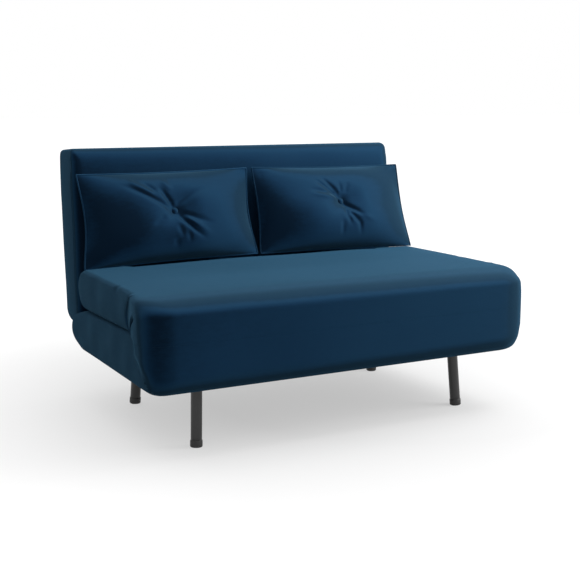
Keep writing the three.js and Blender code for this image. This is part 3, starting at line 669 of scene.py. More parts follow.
def leaf_sides():
    rear = LEAF_REAR
    low = LEAF_UNDER - HALF_GAP + CRACK
    bulge = SEAT - LEAF_BULGE_DROP
    stretch = np.array([TOP_RUN / TOP_RADIUS, 1.0])
    turn = np.array([FRONT, SEAT - TOP_RADIUS])
    corner = turn + arc((TOP_RADIUS, 0), TOP_RADIUS, 180, 135) * stretch
    crown = turn + arc((TOP_RADIUS, 0), TOP_RADIUS, 135, 90) * stretch
    shoulder = curve(
        (rear - LEAF_TOP_RUN, SEAT),
        (rear - 0.25 * LEAF_TOP_RUN, SEAT),
        (rear, bulge + 0.3 * LEAF_BULGE_DROP),
        (rear, bulge),
    )
    hip = curve(
        (rear, bulge),
        (rear, bulge - 0.4 * (bulge - low)),
        (rear - 0.45 * LEAF_FOOT_RUN, low + HINGE_DIP),
        (rear - LEAF_FOOT_RUN, low + HINGE_DIP / 4),
    )
    split = len(shoulder) // 2
    strip = hinge_strip(low, HINGE_DIP)[::-1]
    front = chain(line((FRONT, low), corner[0]), corner)
    top = chain(crown, line(crown[-1], shoulder[0]), shoulder[: split + 1])
    back = chain(shoulder[split:], hip)
    bottom = chain(line(hip[-1], strip[0]), strip)
    return sample_sides((front, top, back, bottom), LAYER_HIGH, LAYER_LONG, depth_step)


def base_sides():
    rear = BASE_REAR + BASE_PAD
    high = BED + HALF_GAP - CRACK
    low = UNDER - SAG
    nose = UNDER + NOSE_RISE
    centre = (FRONT + BOTTOM_RADIUS, low + BOTTOM_RADIUS)
    heel = arc(centre, BOTTOM_RADIUS, 225, 180)
    sole = arc(centre, BOTTOM_RADIUS, 270, 225)
    fall = curve(
        (rear - NOSE_TOP_RUN, high - HINGE_DIP / 4),
        (rear - 0.55 * NOSE_TOP_RUN, high - HINGE_DIP / 4),
        (rear, nose + 0.46 * (high - nose)),
        (rear, nose),
    )
    tuck = curve(
        (rear, nose),
        (rear, nose - 0.55 * NOSE_RISE),
        (rear - 0.45 * NOSE_BOTTOM_RUN, low),
        (rear - NOSE_BOTTOM_RUN, low),
    )
    split, half = int(len(fall) * 0.7), len(tuck) // 2
    strip = hinge_strip(high, -HINGE_DIP)
    front = chain(heel, line(heel[-1], (FRONT, high)))
    top = chain(strip, line(strip[-1], fall[0]), fall[: split + 1])
    back = chain(fall[split:], tuck[: half + 1])
    bottom = chain(tuck[half:], line(tuck[-1], sole[0]), sole)
    return sample_sides((front, top, back, bottom), LAYER_HIGH, LAYER_LONG, depth_step)


def layer_edge(body):
    """Each end is rounded: far round the front corner, a little along the top and the bottom, and
    not at all along the hinge line at the front, where the front panel runs over both layers."""

    def edge(ring):
        y, z = ring[:, 0] - FRONT, ring[:, 1]
        fore = np.clip(1 - y / CORNER_FADE, 0, 1) ** 2
        aft = smooth(y, CORNER_FADE, AFT_END)
        split = smooth(y, *SPLIT_RUN)
        if body == "leaf":
            rear = LEAF_REAR
            down = -(END_TOP_DRAW + FORE_TOP_DRAW * fore) * smooth(z, SEAT - TOP_BLEND, SEAT)
            down = down + END_DRAW * split * (1 - smooth(z, LEAF_UNDER, LEAF_UNDER + BAND))
        else:
            rear = BASE_REAR
            down = END_DRAW * (1 - smooth(z, UNDER - SAG, UNDER + UNDER_BLEND))
            down = down - END_DRAW * split * smooth(z, BED - BAND, BED)
        along = CORNER_DRAW * fore - END_DRAW * smooth(ring[:, 0], rear - REAR_BLEND, rear)
        reach = END_REACH + (CORNER_REACH - END_REACH) * fore + AFT_REACH * aft
        return np.stack([along, down], 1), reach

    return edge


# Lines on each end, as Y from the front face and Z: the rear border of the front panel, which runs
# up the lower layer and ends as a fold in the upper one, and a crease behind it
LAP = [(0.036, 0.186), (0.046, 0.208), (0.058, 0.224), (0.084, 0.246), (0.122, 0.266)]
LAP += [(0.131, 0.285), (0.131, 0.306), (0.135, 0.322), (0.139, 0.338), (0.136, 0.354)]
LAP += [(0.126, 0.370), (0.112, 0.382), (0.094, 0.391), (0.074, 0.399)]
CREASE = [(0.150, 0.449), (0.178, 0.428), (0.196, 0.404), (0.200, 0.380), (0.196, 0.355)]
CREASE += [(0.182, 0.334)]
SEAT_WAVES = Waves(3, WAVE_LENGTH)


def end_relief(deep, z):
    """How far an end stands out from its plane: the front panel, its border and the folds."""
    distance, side, place = path_distance(deep, z, LAP)
    away = distance * side
    upper = smooth(z, *FOLD_TURN)
    lower = 1 - upper
    fade = 1 - smooth(place, *FOLD_END)
    panel = (0.45 + 0.55 * smooth(-away, *PANEL_FILL)) * (1 - smooth(away, *PANEL_STEP))
    relief = PANEL_PROUD * (panel * lower + (1 - smooth(deep, *PANEL_FADE)) * upper)
    groove = GROOVE_LOWER * lower + GROOVE_FOLD * upper * fade
    width = GROOVE_LOWER_WIDTH * lower + GROOVE_FOLD_WIDTH * upper
    relief -= groove * bell(away - GROOVE_PLACE, width)
    relief += LIP * bell(away + LIP_FRONT, LIP_FRONT_WIDTH) * (1 - 0.5 * upper) * fade
    relief += LIP * bell(away - LIP_REAR, LIP_REAR_WIDTH) * upper * fade
    distance, side, run = path_distance(deep, z, CREASE)
    ridge = RIDGE * bell(distance, RIDGE_WIDTH)
    ridge -= LIP * bell(distance * side + RIDGE_DIP_PLACE, RIDGE_DIP_WIDTH)
    return relief + ridge * upper * smooth(run, *RIDGE_START)


def seat_rise(x, y):
    """The crown of the seat's top."""
    deep = y - FRONT
    part = x / (HALF + CROWN_MARGIN)
    crown = hump(part, 4) * hump((deep - CROWN_MIDDLE) / CROWN_HALF, 3)
    return SEAT_CROWN * crown + REAR_RISE * hump(part, 2) * smooth(deep, *REAR_RISE_RUN)


def right_lift(x):
    return RIGHT_LIFT * smooth(x, HALF - RIGHT_LIFT_FROM, HALF - RIGHT_LIFT_TO)


def shape_seat(places):
    """Gives the layers their crown, sag and waviness, and the folds on both ends."""
    x, y, z = places.T
    deep = y - FRONT
    from_end = HALF - np.abs(x)
    waves = SEAT_WAVES(places)
    upper = z > BED + HALF_GAP - CRACK

    # Top, dividing line and underside
    top = smooth(z, SEAT - BAND, SEAT)
    behind = smooth(deep, *WAVE_START)
    z_new = z + top * (seat_rise(x, y) + WAVE_HIGH * waves * behind)
    z_new += top * right_lift(x) * smooth(deep, *RIGHT_LIFT_RUN)
    tilt = LINE_RISE * behind - LINE_FALL * smooth(deep, *LINE_FALL_RUN)
    z_new += tilt * bell(z - BED, BAND)
    low = 1 - smooth(z, UNDER - SAG, UNDER + BAND)
    z_new -= low * (FRONT_SAG - SAG) * (1 - smooth(deep, *FRONT_SAG_RUN))
    inside = smooth(from_end - TRAY_SIDE, 0, TRAY_SLOPE)
    inside = inside * smooth(deep, *TRAY_FRONT) * (1 - smooth(deep, *TRAY_REAR))
    under = (z < UNDER + 0.001) & (inside > 0)
    z_new = np.where(under, z_new + (UNDER + TRAY_LIFT - z_new) * inside, z_new)

    # Front face, and the bay in the leaf's rear edge
    height = (z - UNDER) / (SEAT - UNDER)
    belly = np.clip(4 * height * (1 - height), 0, 1)
    face = (1 - smooth(deep, 0.0, FACE_RUN)) * hump(x / (HALF - FACE_RUN), 6)
    y_new = y - face * (FACE_BELLY * belly + FACE_WAVE * waves)
    bay = (1 - smooth(np.abs(x), BAY_HALF - BAY_SIDE, BAY_HALF)) * upper
    y_new -= BAY_DEPTH * bay * smooth(y, LEAF_REAR - BAY_FROM, LEAF_REAR - BAY_TO)

    # Ends
    end = smooth(np.abs(x), HALF - CORNER_REACH, HALF)
    middle = np.where(upper, (LEAF_UNDER + SEAT) / 2, (UNDER + BED) / 2)
    swell = ROUND_SWELL * hump((z - middle) / ROUND_HALF, 2) * smooth(deep, *ROUND_RUN)
    ripples = RIPPLE_HIGH * Waves(4, RIPPLE_LENGTH)(places)
    out = end * end_relief(deep, z)
    out += smooth(-from_end, -FLAT_END, 0) * (swell + ripples + END_PROUD)
    right = smooth(x, HALF - RIGHT_EDGE, HALF) * hump((z - RIGHT_MIDDLE) / RIGHT_HALF, 6)
    out += RIGHT_SWELL * right * (1 - smooth(deep, *RIGHT_FADE))
    out -= DIMPLE * end * bell(deep - DIMPLE_PLACE, DIMPLE_WIDTH) * bell(z - SEAT, DIMPLE_WIDTH)
    return np.stack([x + np.sign(x) * out, y_new, z_new], 1)


def make_layer(name, sides, body, keep, *nodes):
    stations = int(2 * HALF / STATION_STEP)
    form = {"bulge": 0.001, "shape": shape_seat, "angle": 50}
    piece = loft_pad(name, sides, HALF, layer_edge(body), VELVET, stations, **form)
    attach(piece, body)
    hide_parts(*nodes)
    # The piece gets a mesh of its own
    rear = max(point[0] for side in sides for point in side)
    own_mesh(piece)


leaf_nodes = ("leaf_pad_seat", "leaf_pad_bed", "front_cover")
base_nodes = ("lower_pad", "side_rail_left", "side_rail_right")
make_layer("seat_leaf", leaf_sides(), "leaf", LEAF_KEEP, *leaf_nodes)
make_layer("seat_lower", base_sides(), "base", BASE_KEEP, *base_nodes)


# The back, in its own frame: V towards the rear and U up along it, from the pivot line
def from_back_frame(places):
    x, v, u = places.T
    y = PIVOT.y + v * LEAN_COS + u * LEAN_SIN
    return np.stack([x, y, PIVOT.z - v * LEAN_SIN + u * LEAN_COS], 1)


def to_back_frame(places):
    x, y, z = places.T - np.array([[0], [PIVOT.y], [PIVOT.z]])
    return np.stack([x, y * LEAN_COS - z * LEAN_SIN, y * LEAN_SIN + z * LEAN_COS], 1)


def back_sides():
    face, rear, top = -BACK_THICK / 2, BACK_THICK / 2, BACK_TOP
    crest = curve(
        (face, top - BACK_FRONT_DROP),
        (face, top - 0.32 * BACK_FRONT_DROP),
        (face + 0.35 * BACK_FRONT_RUN, top),
        (face + BACK_FRONT_RUN, top),
    )
    nape = curve(
        (rear - BACK_REAR_RADIUS, top),
        (rear - 0.4 * BACK_REAR_RADIUS, top),
        (rear, top - 0.4 * BACK_REAR_RADIUS),
        (rear, top - BACK_REAR_RADIUS),
    )
    heel = curve(
        (rear, BACK_HEEL),
        (rear, BACK_HEEL - 0.5 * (BACK_HEEL - BACK_LOW)),
        (0.4 * rear, BACK_LOW),
        (0, BACK_LOW),
    )
    toe = curve(
        (0, BACK_LOW),
        (0.5 * face, BACK_LOW),
        (face, BACK_HEEL - 0.6 * (BACK_HEEL - BACK_LOW)),
        (face, BACK_HEEL),
    )
    split = len(crest) // 2
    front = chain(toe[len(toe) // 2 :], line(toe[-1], crest[0]), crest[: split + 1])
    over = chain(crest[split:], line(crest[-1], nape[0]), nape[: len(nape) // 2 + 1])
    back = chain(nape[len(nape) // 2 :], line(nape[-1], heel[0]), heel[: len(heel) // 2 + 1])
    under = chain(heel[len(heel) // 2 :], toe[: len(toe) // 2 + 1])
    return sample_sides((front, over, back, under), BACK_HIGH_STEPS, BACK_DEEP_STEPS)


def back_edge(ring):
    fore = 1 - smooth(ring[:, 0], -BACK_THICK / 2, -BACK_THICK / 2 + BACK_FORE)
    crest = smooth(ring[:, 1], BACK_TOP - BACK_CREST, BACK_TOP)
    draw = BACK_DRAW + BACK_FRONT_DRAW * fore * (1 - crest)
    return -ring_normals(ring) * draw[:, None], draw + 0.002


def shape_back(places):
    """Gives the faces a slight crown and waviness, then leans the back."""
    x, v, u = places.T
    waves = Waves(11, 0.30)(places)
    face = smooth(-v, 0.03, BACK_THICK / 2)
    middle = hump(x / BACK_HALF, 4) * hump((u - BACK_MIDDLE) / BACK_REACH, 4)
    right = x > 0
    run = np.where(right, BACK_SWELL_RUN_RIGHT, BACK_SWELL_RUN_LEFT)
    swell = np.clip((BACK_SWELL_TOP - u) / run, 0, 1) ** 0.5
    swell = swell * (0.75 + 0.25 * hump(v / (BACK_THICK / 2), 2))
    end = smooth(np.abs(x), BACK_HALF - BACK_END, BACK_HALF)
    out = np.where(right, BACK_SWELL_RIGHT, BACK_SWELL_LEFT) * swell + BACK_END_WAVE * waves
    v = v - face * middle * (BACK_CROWN + BACK_WAVE * waves)
    return from_back_frame(np.stack([x + np.sign(x) * end * out, v, u], 1))


form = {"bulge": 0.002, "shape": shape_back, "angle": 60}
back = loft_pad("back_pad", back_sides(), BACK_HALF, back_edge, VELVET, BACK_STATIONS, **form)
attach(back, "backrest")
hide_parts("back_pad_front", "back_pad_rear")


# Cushions: places on them are X and T from the middle, T running up the plane of their seam.
# Head and foot are their left and right corners, in the sofa's frame. A fold is a depth (below 0
# for a ridge), a width and a path. A hollow is a place, a reach and a depth.
LEFT_FOLDS = [
    (0.0080, 0.0060, [(-0.007, 0.033), (-0.038, 0.087), (-0.046, 0.098)]),
    (0.0055, 0.0060, [(-0.022, 0.026), (-0.094, 0.072), (-0.171, 0.111)]),
    (-0.0040, 0.0080, [(-0.130, 0.114), (-0.054, 0.061)]),
    (0.0040, 0.0060, [(-0.061, 0.083), (-0.095, 0.113)]),
    (-0.0035, 0.0080, [(-0.022, 0.110), (-0.002, 0.077)]),
    (0.0045, 0.0090, [(0.017, 0.037), (0.067, 0.065), (0.122, 0.089)]),
    (0.0055, 0.0065, [(0.027, 0.001), (0.075, -0.018), (0.128, -0.035)]),
    (0.0085, 0.0062, [(0.017, -0.007), (0.059, -0.053), (0.099, -0.086)]),
    (-0.0040, 0.0080, [(0.040, -0.017), (0.119, -0.074)]),
    (0.0040, 0.0055, [(0.009, -0.041), (0.019, -0.077)]),
    (0.0030, 0.0055, [(-0.005, -0.084), (-0.003, -0.110)]),
    (0.0035, 0.0055, [(0.035, -0.060), (0.043, -0.096)]),
    (0.0035, 0.0080, [(-0.043, -0.008), (-0.083, -0.036)]),
]
RIGHT_FOLDS = [
    (0.0075, 0.0058, [(0.000, 0.046), (-0.038, 0.088), (-0.055, 0.106)]),
    (0.0075, 0.0060, [(-0.006, 0.033), (-0.023, 0.051), (-0.080, 0.098)]),
    (-0.0040, 0.0070, [(-0.011, 0.030), (-0.109, 0.046)]),
    (0.0050, 0.0065, [(-0.019, 0.042), (-0.107, 0.060)]),
    (0.0030, 0.0050, [(0.018, 0.053), (0.014, 0.087)]),
    (0.0030, 0.0050, [(0.035, 0.052), (0.055, 0.085)]),
    (0.0095, 0.0070, [(0.022, 0.003), (0.074, -0.029), (0.106, -0.047)]),
    (-0.0040, 0.0070, [(0.050, -0.023), (0.140, -0.059)]),
    (0.0055, 0.0055, [(0.022, -0.014), (0.027, -0.035), (0.038, -0.069)]),
    (-0.0025, 0.0055, [(0.028, -0.030), (0.050, -0.061)]),
    (0.0060, 0.0060, [(0.040, -0.027), (0.070, -0.062), (0.073, -0.104)]),
    (0.0030, 0.0055, [(0.004, -0.058), (-0.002, -0.108)]),
]
CUSHIONS = {
    "left": {
        "head": [(-0.6004, 0.2440, 0.7416), (-0.0062, 0.2440, 0.7466)],
        "foot": [(-0.6010, 0.1850, 0.4450), (0.0050, 0.1810, 0.4600)],
        "button": (0.002, 0.012),
        "seed": 5,
        "drawn": 0.015,  # how far the sides pull in between the corners
        "folds": LEFT_FOLDS,
        "hollow": (0.045, 0.040, 0.036, 0.005),
    },
    "right": {
        "head": [(0.0147, 0.2440, 0.7470), (0.6045, 0.2440, 0.7418)],
        "foot": [(0.0180, 0.1830, 0.4580), (0.6165, 0.1536, 0.4475)],
        "button": (0.011, 0.016),
        "seed": 9,
        "drawn": 0.009,
        "folds": RIGHT_FOLDS,
        "hollow": (0.060, 0.032, 0.040, 0.005),
    },
}


def cushion_world(side, x, t, lift):
    """From a place on the cushion, and its lift in front of the seam, to the sofa's frame."""
    head, foot = np.array(CUSHIONS[side]["head"]), np.array(CUSHIONS[side]["foot"])
    ahead = np.cross(head[1] - foot[0], head[0] - foot[1])
    ahead /= np.linalg.norm(ahead)
    share = (x / CUSHION_HALF + 1)[:, None] / 2
    rise = (t / CUSHION_RISE + 1)[:, None] / 2
    head = head[0] * (1 - share) + head[1] * share
    foot = foot[0] * (1 - share) + foot[1] * share
    return foot * (1 - rise) + head * rise + lift[:, None] * ahead


def cushion_point(side, x, t, lift):
    return cushion_world(side, *np.array([[x], [t], [lift]], float))[0]


def spread(count):
    even = np.linspace(-1, 1, count)
    return 0.45 * even + 0.55 * np.sin(even * math.pi / 2)


def make_cushion(side):
    """Makes a cushion's body, and gives it with the path of its seam."""
    spec = CUSHIONS[side]
    s, t = np.meshgrid(spread(CUSHION_COLUMNS + 1), spread(CUSHION_ROWS + 1))
    x = s * (CUSHION_HALF - spec["drawn"] * (1 - t**2) ** 1.5)
    bow = np.where(t > 0, TOP_BOW * (1 - s**2), FOOT_BOW * (1 - s**2) ** 1.5)
    rim = t * (CUSHION_RISE - bow)
    low = t + BODY_DROP * (1 - t**2)
    body = (1 - np.abs(s) ** 2.8) ** 0.90
    body = body * (1 - np.abs(low) ** 2.3) ** np.where(t > 0, 0.70, 0.60)
    bx, bt = spec["button"]
    away = np.hypot(x - bx, rim - bt)
    tuft = TUFT_DEPTH * np.exp(-((away / TUFT_REACH) ** 1.15))
    lift = FRONT_CROWN * body - tuft
    rear = REAR_CROWN * body - REAR_TUFT * tuft
    grid = np.arange(s.size).reshape(s.shape)
    front = np.stack([x, -lift, rim], 2).reshape(-1, 3)
    behind = np.stack([x, rear, rim], 2)[1:-1, 1:-1].reshape(-1, 3)
    other = grid.copy()
    other[1:-1, 1:-1] = len(front) + np.arange(len(behind)).reshape(other[1:-1, 1:-1].shape)
    faces = np.concatenate([quads(grid), quads(other)[:, ::-1]])
    piece = make_piece(f"cushion_body_{side}", np.concatenate([front, behind]), faces, VELVET)
    border = np.concatenate([grid[0, :-1], grid[:-1, -1], grid[-1, :0:-1], grid[:0:-1, 0]])
    held = np.flatnonzero(away.ravel() < HELD_RADIUS)
    held = np.unique(np.concatenate([held, other.ravel()[held], border]))
    places = get_places(piece)
    to_side = CUSHION_HALF - np.abs(places[:, 0])
    to_foot = np.where(places[:, 2] < 0, 2.0, 1.0) * (CUSHION_RISE - np.abs(places[:, 2]))
    inner = smooth(to_side, 0.0, PUFF_SIDE) * smooth(to_foot, 0.0, PUFF_FOOT)
    inflate(piece, held, PUFF_SEAM + PUFF_BODY * inner)
    finish_cushion(side, piece, border)
    return piece, get_places(piece)[border]


def inflate(piece, held, cap):
    """Blows the cover up like cloth, with the held points kept still."""
    before = get_places(piece)
    group = piece.vertex_groups.new(name="held")
    group.add([int(i) for i in held], 1.0, "REPLACE")
    cloth = piece.modifiers.new("cloth", "CLOTH")
    for key, value in CLOTH.items():
        setattr(cloth.settings, key, value)
    cloth.settings.effector_weights.gravity = 0
    cloth.collision_settings.use_collision = False
    cloth.point_cache.frame_start = 1
    cloth.point_cache.frame_end = PUFF_FRAMES
    for number in range(1, PUFF_FRAMES + 1):
        SCENE.frame_set(number)
    view = piece.evaluated_get(bpy.context.evaluated_depsgraph_get())
    after = np.empty(len(before) * 3)
    view.to_mesh().vertices.foreach_get("co", after)
    view.to_mesh_clear()
    move = after.reshape(-1, 3) - before
    far = np.linalg.norm(move, axis=1)
    move *= (np.minimum(far, cap) / np.maximum(far, 1e-9))[:, None]
    piece.modifiers.remove(cloth)
    piece.vertex_groups.remove(group)
    SCENE.frame_set(1)
    set_places(piece, before + move)


def finish_cushion(side, piece, border):
    """Lays the folds round the button, and sets the cushion against the back and on the seat."""
    spec = CUSHIONS[side]
    x, lift, t = get_places(piece).T * np.array([[1], [-1], [1]])
    rim = np.clip((1 - np.abs(x) / CUSHION_HALF) / RIM_SIDE, 0, 1)
    rim = rim * np.clip((1 - np.abs(t) / CUSHION_RISE) / RIM_FOOT, 0, 1)
    front = smooth(lift, 0.004, 0.020)
    sink = np.zeros(len(x))
    for depth, width, path in spec["folds"]:
        away, _, along = path_distance(x, t, path)
        fade = smooth(1.12 - along, 0.0, 0.75) * smooth(along + 0.35, 0.0, 0.40)
        sink += depth * fade * bell(away, width)
    hx, ht, reach, depth = spec["hollow"]
    sink += depth * bell(np.hypot(x - hx, t - ht), reach)
    waves = Waves(spec["seed"], 0.16)(np.stack([x, lift, t], 1))
    lift = lift - front * rim * sink + rim * CUSHION_WAVE * waves * np.sign(lift)
    own = to_back_frame(cushion_world(side, x, t, lift))
    face = -BACK_THICK / 2 - BACK_CLEAR
    over = np.maximum(own[:, 1] - face, 0)
    squeezed = BACK_SQUEEZE * (1 - np.exp(-over / BACK_SQUEEZE))
    own[:, 1] = np.minimum(own[:, 1], face) + squeezed
    places = from_back_frame(own)
    clear = np.full(len(places), SEAT_CLEAR)
    clear[border] = SEAM_RADIUS + SEAM_CLEAR
    places[:, 2] = np.maximum(places[:, 2], seat_top(places) + clear)
    set_places(piece, places)
    smoother = piece.modifiers.new("smooth", "SUBSURF")
    smoother.levels = 1
    smoother.render_levels = 1


def seat_top(places):
    """Height of the seat's top under each place."""
    outline = leaf_sides()[1]
    x, y = places[:, 0], places[:, 1]
    flat = np.stack([x, y, np.full(len(x), SEAT)], 1)
    height = np.interp(y, outline[:, 0], outline[:, 1]) + seat_rise(x, y)
    return height + WAVE_HIGH * SEAT_WAVES(flat) + right_lift(x)


def make_tube(name, path, radius, material, sides=8):
    """A round bead along a closed path."""
    way = np.roll(path, -1, axis=0) - np.roll(path, 1, axis=0)
    way /= np.linalg.norm(way, axis=1)[:, None]
    side = np.cross(way, SEAM_GUIDE)
    side /= np.linalg.norm(side, axis=1)[:, None]
    rise = np.cross(side, way)
    turn = np.linspace(0, 2 * math.pi, sides, endpoint=False)
    rings = [path + radius * (math.cos(a) * side + math.sin(a) * rise) for a in turn]
    vertices = np.stack(rings, 1).reshape(-1, 3)
    return make_piece(name, vertices, ring_faces(len(path), sides, looped=True), material)


def lathe(name, profile, material, place, steps=40, angle=40):
    """A turned body: profile rows are radius and height, and place(x, y, h) sets each point."""
    vertices, faces = lathe_mesh(profile, place, steps)
    return make_piece(name, vertices, faces, material, angle)


def lathe_mesh(profile, place, steps):
    profile = np.asarray(profile)
    turn = np.linspace(0, 2 * math.pi, steps, endpoint=False)
    vertices, faces, rows = [], [], []
    for radius, height in profile:
        if radius == 0:
            rows.append([len(vertices)] * steps)
            vertices.append(place(0.0, 0.0, height))
        else:
            rows.append([len(vertices) + k for k in range(steps)])
            for a in turn:
                vertices.append(place(radius * math.cos(a), radius * math.sin(a), height))
    for low, high in zip(rows[:-1], rows[1:]):
        for k in range(steps):
            m = (k + 1) % steps
            loop = []
            for corner in (low[k], low[m], high[m], high[k]):
                if corner not in loop:
                    loop.append(corner)
            faces.append(loop)
    return vertices, faces


def rounded_square(half, radius, steps=6):
    points = []
    for quarter, (x, y) in enumerate(((1, 1), (-1, 1), (-1, -1), (1, -1))):
        for share in range(steps + 1):
            turn = (quarter + share / steps) * math.pi / 2
            out_x, out_y = radius * math.cos(turn), radius * math.sin(turn)
            points.append((x * (half - radius) + out_x, y * (half - radius) + out_y))
    return points


def stack_mesh(rings):
    """A closed body through a row of rings with the same number of points."""
    count = len(rings[0])
    vertices = [tuple(point) for ring in rings for point in ring]
    ends = [tuple(range(count))[::-1], tuple(range(len(vertices) - count, len(vertices)))]
    return vertices, ends[:1] + ring_faces(len(rings), count) + ends[1:]


def join_meshes(*meshes):
    vertices, faces = [], []
    for more_vertices, more_faces in meshes:
        faces += [tuple(int(i) + len(vertices) for i in face) for face in more_faces]
        vertices += list(more_vertices)
    return vertices, faces


def make_button(side, face, seat_lift):
    bx, bt = CUSHIONS[side]["button"]
    way = 1 if face == "front" else -1

    def place(x, y, h):
        return cushion_point(side, bx + way * x, bt + y, seat_lift + way * h)

    dome = [(0, -0.003), (0.0095, -0.003)]
    dome += [(0.0118 * math.cos(a), 0.0062 * math.sin(a)) for a in np.linspace(-0.3, 1.35, 9)]
    dome.append((0, 0.0063))
    return lathe(f"tuft_button_{face}_{side}", dome, VELVET, place, 28, 60)


for side in ("left", "right"):
    pillow, border = make_cushion(side)
    # The left cushion's seam bead wears the brighter copy, a painted rim light; the right cushion's bead stays
    # plain velvet
    bead_velvet = VELVET_PAINTED_RIM if side == "left" else VELVET
    bead = make_tube(f"cushion_seam_{side}", border, SEAM_RADIUS, bead_velvet)
    spot = CUSHIONS[side]["button"]
    middle = cushion_point(side, *spot, 0)
    ahead = cushion_point(side, *spot, 1) - middle
    away = get_places(pillow) - middle
    lift = away @ ahead
    near = np.linalg.norm(away - lift[:, None] * ahead, axis=1) < BUTTON_HOLE
    front_seat = float(lift[near & (lift > 0)].mean())
    rear_seat = float(-lift[near & (lift < 0)].mean())
    front_button = make_button(side, "front", front_seat)
    rear_button = make_button(side, "rear", -rear_seat)
    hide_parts(f"cushion_{side}")
    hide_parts(f"button_front_{side}")
    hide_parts(f"button_rear_{side}")
    for piece in (pillow, bead, front_button, rear_button):
        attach(piece, f"cushion_{side}")


# Round splayed legs with their plates and caps
def along_leg(foot, head):
    way = (head - foot).normalized()
    side = way.cross(Vector((0, 1, 0))).normalized()
    rise = way.cross(side)

    def place(x, y, h):
        return tuple(foot + side * x + rise * y + way * h)

    return place


def make_screw(x, y, z):
    """A screw head that looks down."""
    profile = [(0, -0.0005), (0.0046, -0.0005), (0.0044, 0.0012), (0.0034, 0.0021)]
    profile += [(0.0018, 0.0024), (0.0015, 0.0012), (0, 0.0012)]
    points, faces = lathe_mesh(profile, lambda px, py, h: (x + px, y + py, z - h), 20)
    return points, [tuple(face)[::-1] for face in faces]


def make_leg(end, side):
    low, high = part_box(f"foot_cap_{end}_{side}")
    plate_low, plate_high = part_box(f"leg_{end}_{side}")
    way_x = 1 if side == "right" else -1
    way_y = 1 if end == "rear" else -1
    foot_x = high.x - FOOT_RADIUS if way_x > 0 else low.x + FOOT_RADIUS
    foot_y = high.y - FOOT_RADIUS if way_y > 0 else low.y + FOOT_RADIUS
    foot = Vector((foot_x, foot_y, 0))
    head = Vector((foot.x - way_x * SPLAY_X, foot.y - way_y * SPLAY_Y, UNDER))
    place = along_leg(foot, head)
    length = (head - foot).length
    weld = length + PLATE_LIFT
    stem = [(0, 0.0215), (0.0160, 0.0215), (0.0165, 0.0222), (0.0164, 0.030)]
    stem += [(0.0164, length * 0.5), (0.0164, weld - 0.004), (0.0172, weld - 0.0015)]
    stem += [(0.0190, weld), (0.0190, weld + 0.001), (0, weld + 0.001)]
    top, bottom = plate_high.z, plate_high.z - PLATE_THICK
    centre_x, centre_y = (plate_low.x + plate_high.x) / 2, (plate_low.y + plate_high.y) / 2
    levels = [
        (PLATE_CHAMFER_LOW, bottom),
        (0, bottom + PLATE_CHAMFER_LOW),
        (0, top - PLATE_CHAMFER_HIGH),
        (PLATE_CHAMFER_HIGH, top),
    ]
    rings = []
    for inset, height in levels:
        ring = rounded_square(PLATE_HALF - inset, PLATE_CORNER)
        rings.append([(centre_x + x, centre_y + y, height) for x, y in ring])
    screws = [
        make_screw(centre_x + x, centre_y + y, bottom)
        for x in (-SCREW_PLACE, SCREW_PLACE)
        for y in (-SCREW_PLACE, SCREW_PLACE)
    ]
    vertices, faces = join_meshes(lathe_mesh(stem, place, 48), stack_mesh(rings), *screws)
    leg = make_piece(f"sofa_leg_{end}_{side}", vertices, faces, BLACK_STEEL, 40)

    def shoe_place(x, y, h):
        spot = place(x, y, h)
        return (spot[0], spot[1], max(spot[2], FLOOR_GAP))

    cap = [(0, 0.0004), (0.0160, 0.0004), (0.0174, 0.0018), (0.0180, 0.0040), (0.0180, 0.0180)]
    cap += [(0.0176, 0.0198), (0.0168, 0.0206), (0.0166, 0.0214), (0, 0.0214)]
    shoe = lathe(f"sofa_foot_{end}_{side}", cap, FOOT_PLASTIC, shoe_place)
    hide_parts(f"leg_{end}_{side}")
    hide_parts(f"foot_cap_{end}_{side}")
    for piece, slot in ((leg, "black_steel"), (shoe, "foot_plastic")):
        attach(piece, "base")


for end in ("front", "rear"):
    for side in ("left", "right"):
        make_leg(end, side)


# Floor, background and light
def mix_by_ray(tree, plain, seen):
    """Shows one shader to rays from the camera, or off gloss or glass, and one to all others."""
    path = add_node(tree, "ShaderNodeLightPath").outputs
    factor = combine(tree, "MAXIMUM", path["Is Camera Ray"], path["Is Glossy Ray"])
    factor = combine(tree, "MAXIMUM", factor, path["Is Transmission Ray"])
    inputs = {0: factor, 1: plain.outputs[0], 2: seen.outputs[0]}
    return add_node(tree, "ShaderNodeMixShader", inputs).outputs[0]


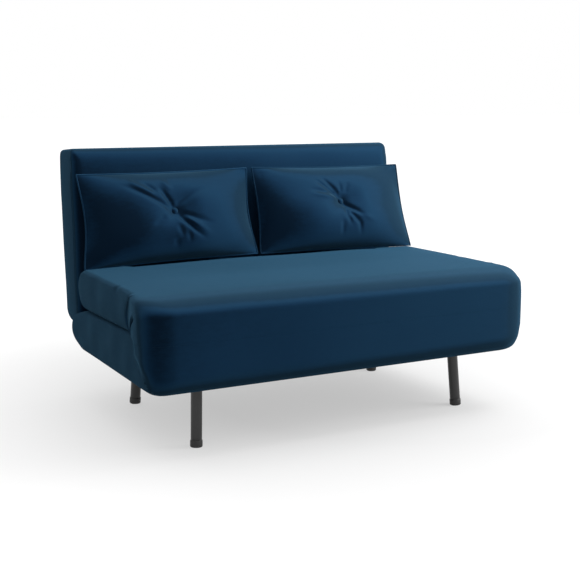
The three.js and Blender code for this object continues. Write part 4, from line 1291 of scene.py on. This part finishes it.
def make_floor():
    material, tree, shader = new_material("pale_floor_with_painted_shade")
    tree.nodes.remove(shader)
    plain, shaded = (
        add_node(tree, "ShaderNodeBsdfDiffuse", {"Color": (grey, grey, grey, 1)})
        for grey in (FLOOR_PLAIN, FLOOR_SEEN)
    )
    # The glow that camera rays see rises with distance from the spot: painted shade near the sofa, white floor far
    # off
    inputs = {0: add_node(tree, "ShaderNodeTexCoord").outputs["Object"], 1: PAINTED_SHADE_SPOT}
    away = add_node(tree, "ShaderNodeVectorMath", inputs, operation="DISTANCE").outputs["Value"]
    lift = remap(tree, away, FLOOR_PAINTED_SHADE_NEAR[1], FLOOR_PAINTED_SHADE_FAR[1], FLOOR_PAINTED_SHADE_NEAR[0], FLOOR_PAINTED_SHADE_FAR[0])
    glow = add_node(tree, "ShaderNodeEmission", {"Color": (1, 1, 1, 1), "Strength": lift})
    seen = add_node(tree, "ShaderNodeAddShader", {0: shaded.outputs[0], 1: glow.outputs[0]})
    feed(tree, tree.nodes["Material Output"], {"Surface": mix_by_ray(tree, plain, seen)})
    corners = np.array([(-1, -1, 0), (1, -1, 0), (1, 1, 0), (-1, 1, 0)]) * FLOOR_REACH
    floor = make_piece("floor", corners, [(0, 1, 2, 3)], material)


def make_sky():
    world = bpy.data.worlds.new("world")
    SCENE.world = world
    world.use_nodes = True
    tree = world.node_tree
    tree.nodes.clear()
    inputs = {0: add_node(tree, "ShaderNodeTexCoord").outputs["Generated"], 1: SKY_WAY}
    along = add_node(tree, "ShaderNodeVectorMath", inputs, operation="DOT_PRODUCT")
    strength = remap(tree, along.outputs["Value"], SKY_DARK, SKY_BRIGHT, -1.0, 1.0)
    soft, white = (
        add_node(tree, "ShaderNodeBackground", {"Color": (1, 1, 1, 1), "Strength": level})
        for level in (strength, 1.0)
    )
    add_node(tree, "ShaderNodeOutputWorld", {"Surface": mix_by_ray(tree, soft, white)})


def add_lamp(kind, name, power, way, place=(0, 0, 0), **settings):
    light = bpy.data.lights.new(name, kind)
    light.energy = power
    for key, value in settings.items():
        setattr(light, key, value)
    lamp = bpy.data.objects.new(name, light)
    lamp.location = place
    lamp.rotation_euler = Vector(way).to_track_quat("Z", "Y").to_euler()
    SCENE.collection.objects.link(lamp)


make_floor()
make_sky()
add_lamp("SUN", "key", KEY_POWER, KEY_WAY, angle=math.radians(KEY_SPREAD))
for name, place, aim, size, power in PANELS:
    add_lamp("AREA", name, power, Vector(place) - Vector(aim), place, size=size)

camera = bpy.data.objects.new("camera", bpy.data.cameras.new("camera"))
camera.location = CAMERA_PLACE
camera.rotation_euler = Euler([math.radians(a) for a in CAMERA_TILT])
camera.data.lens = CAMERA_LENS
camera.data.sensor_width = SENSOR
SCENE.collection.objects.link(camera)
SCENE.camera = camera

SCENE.view_settings.view_transform = "Standard"
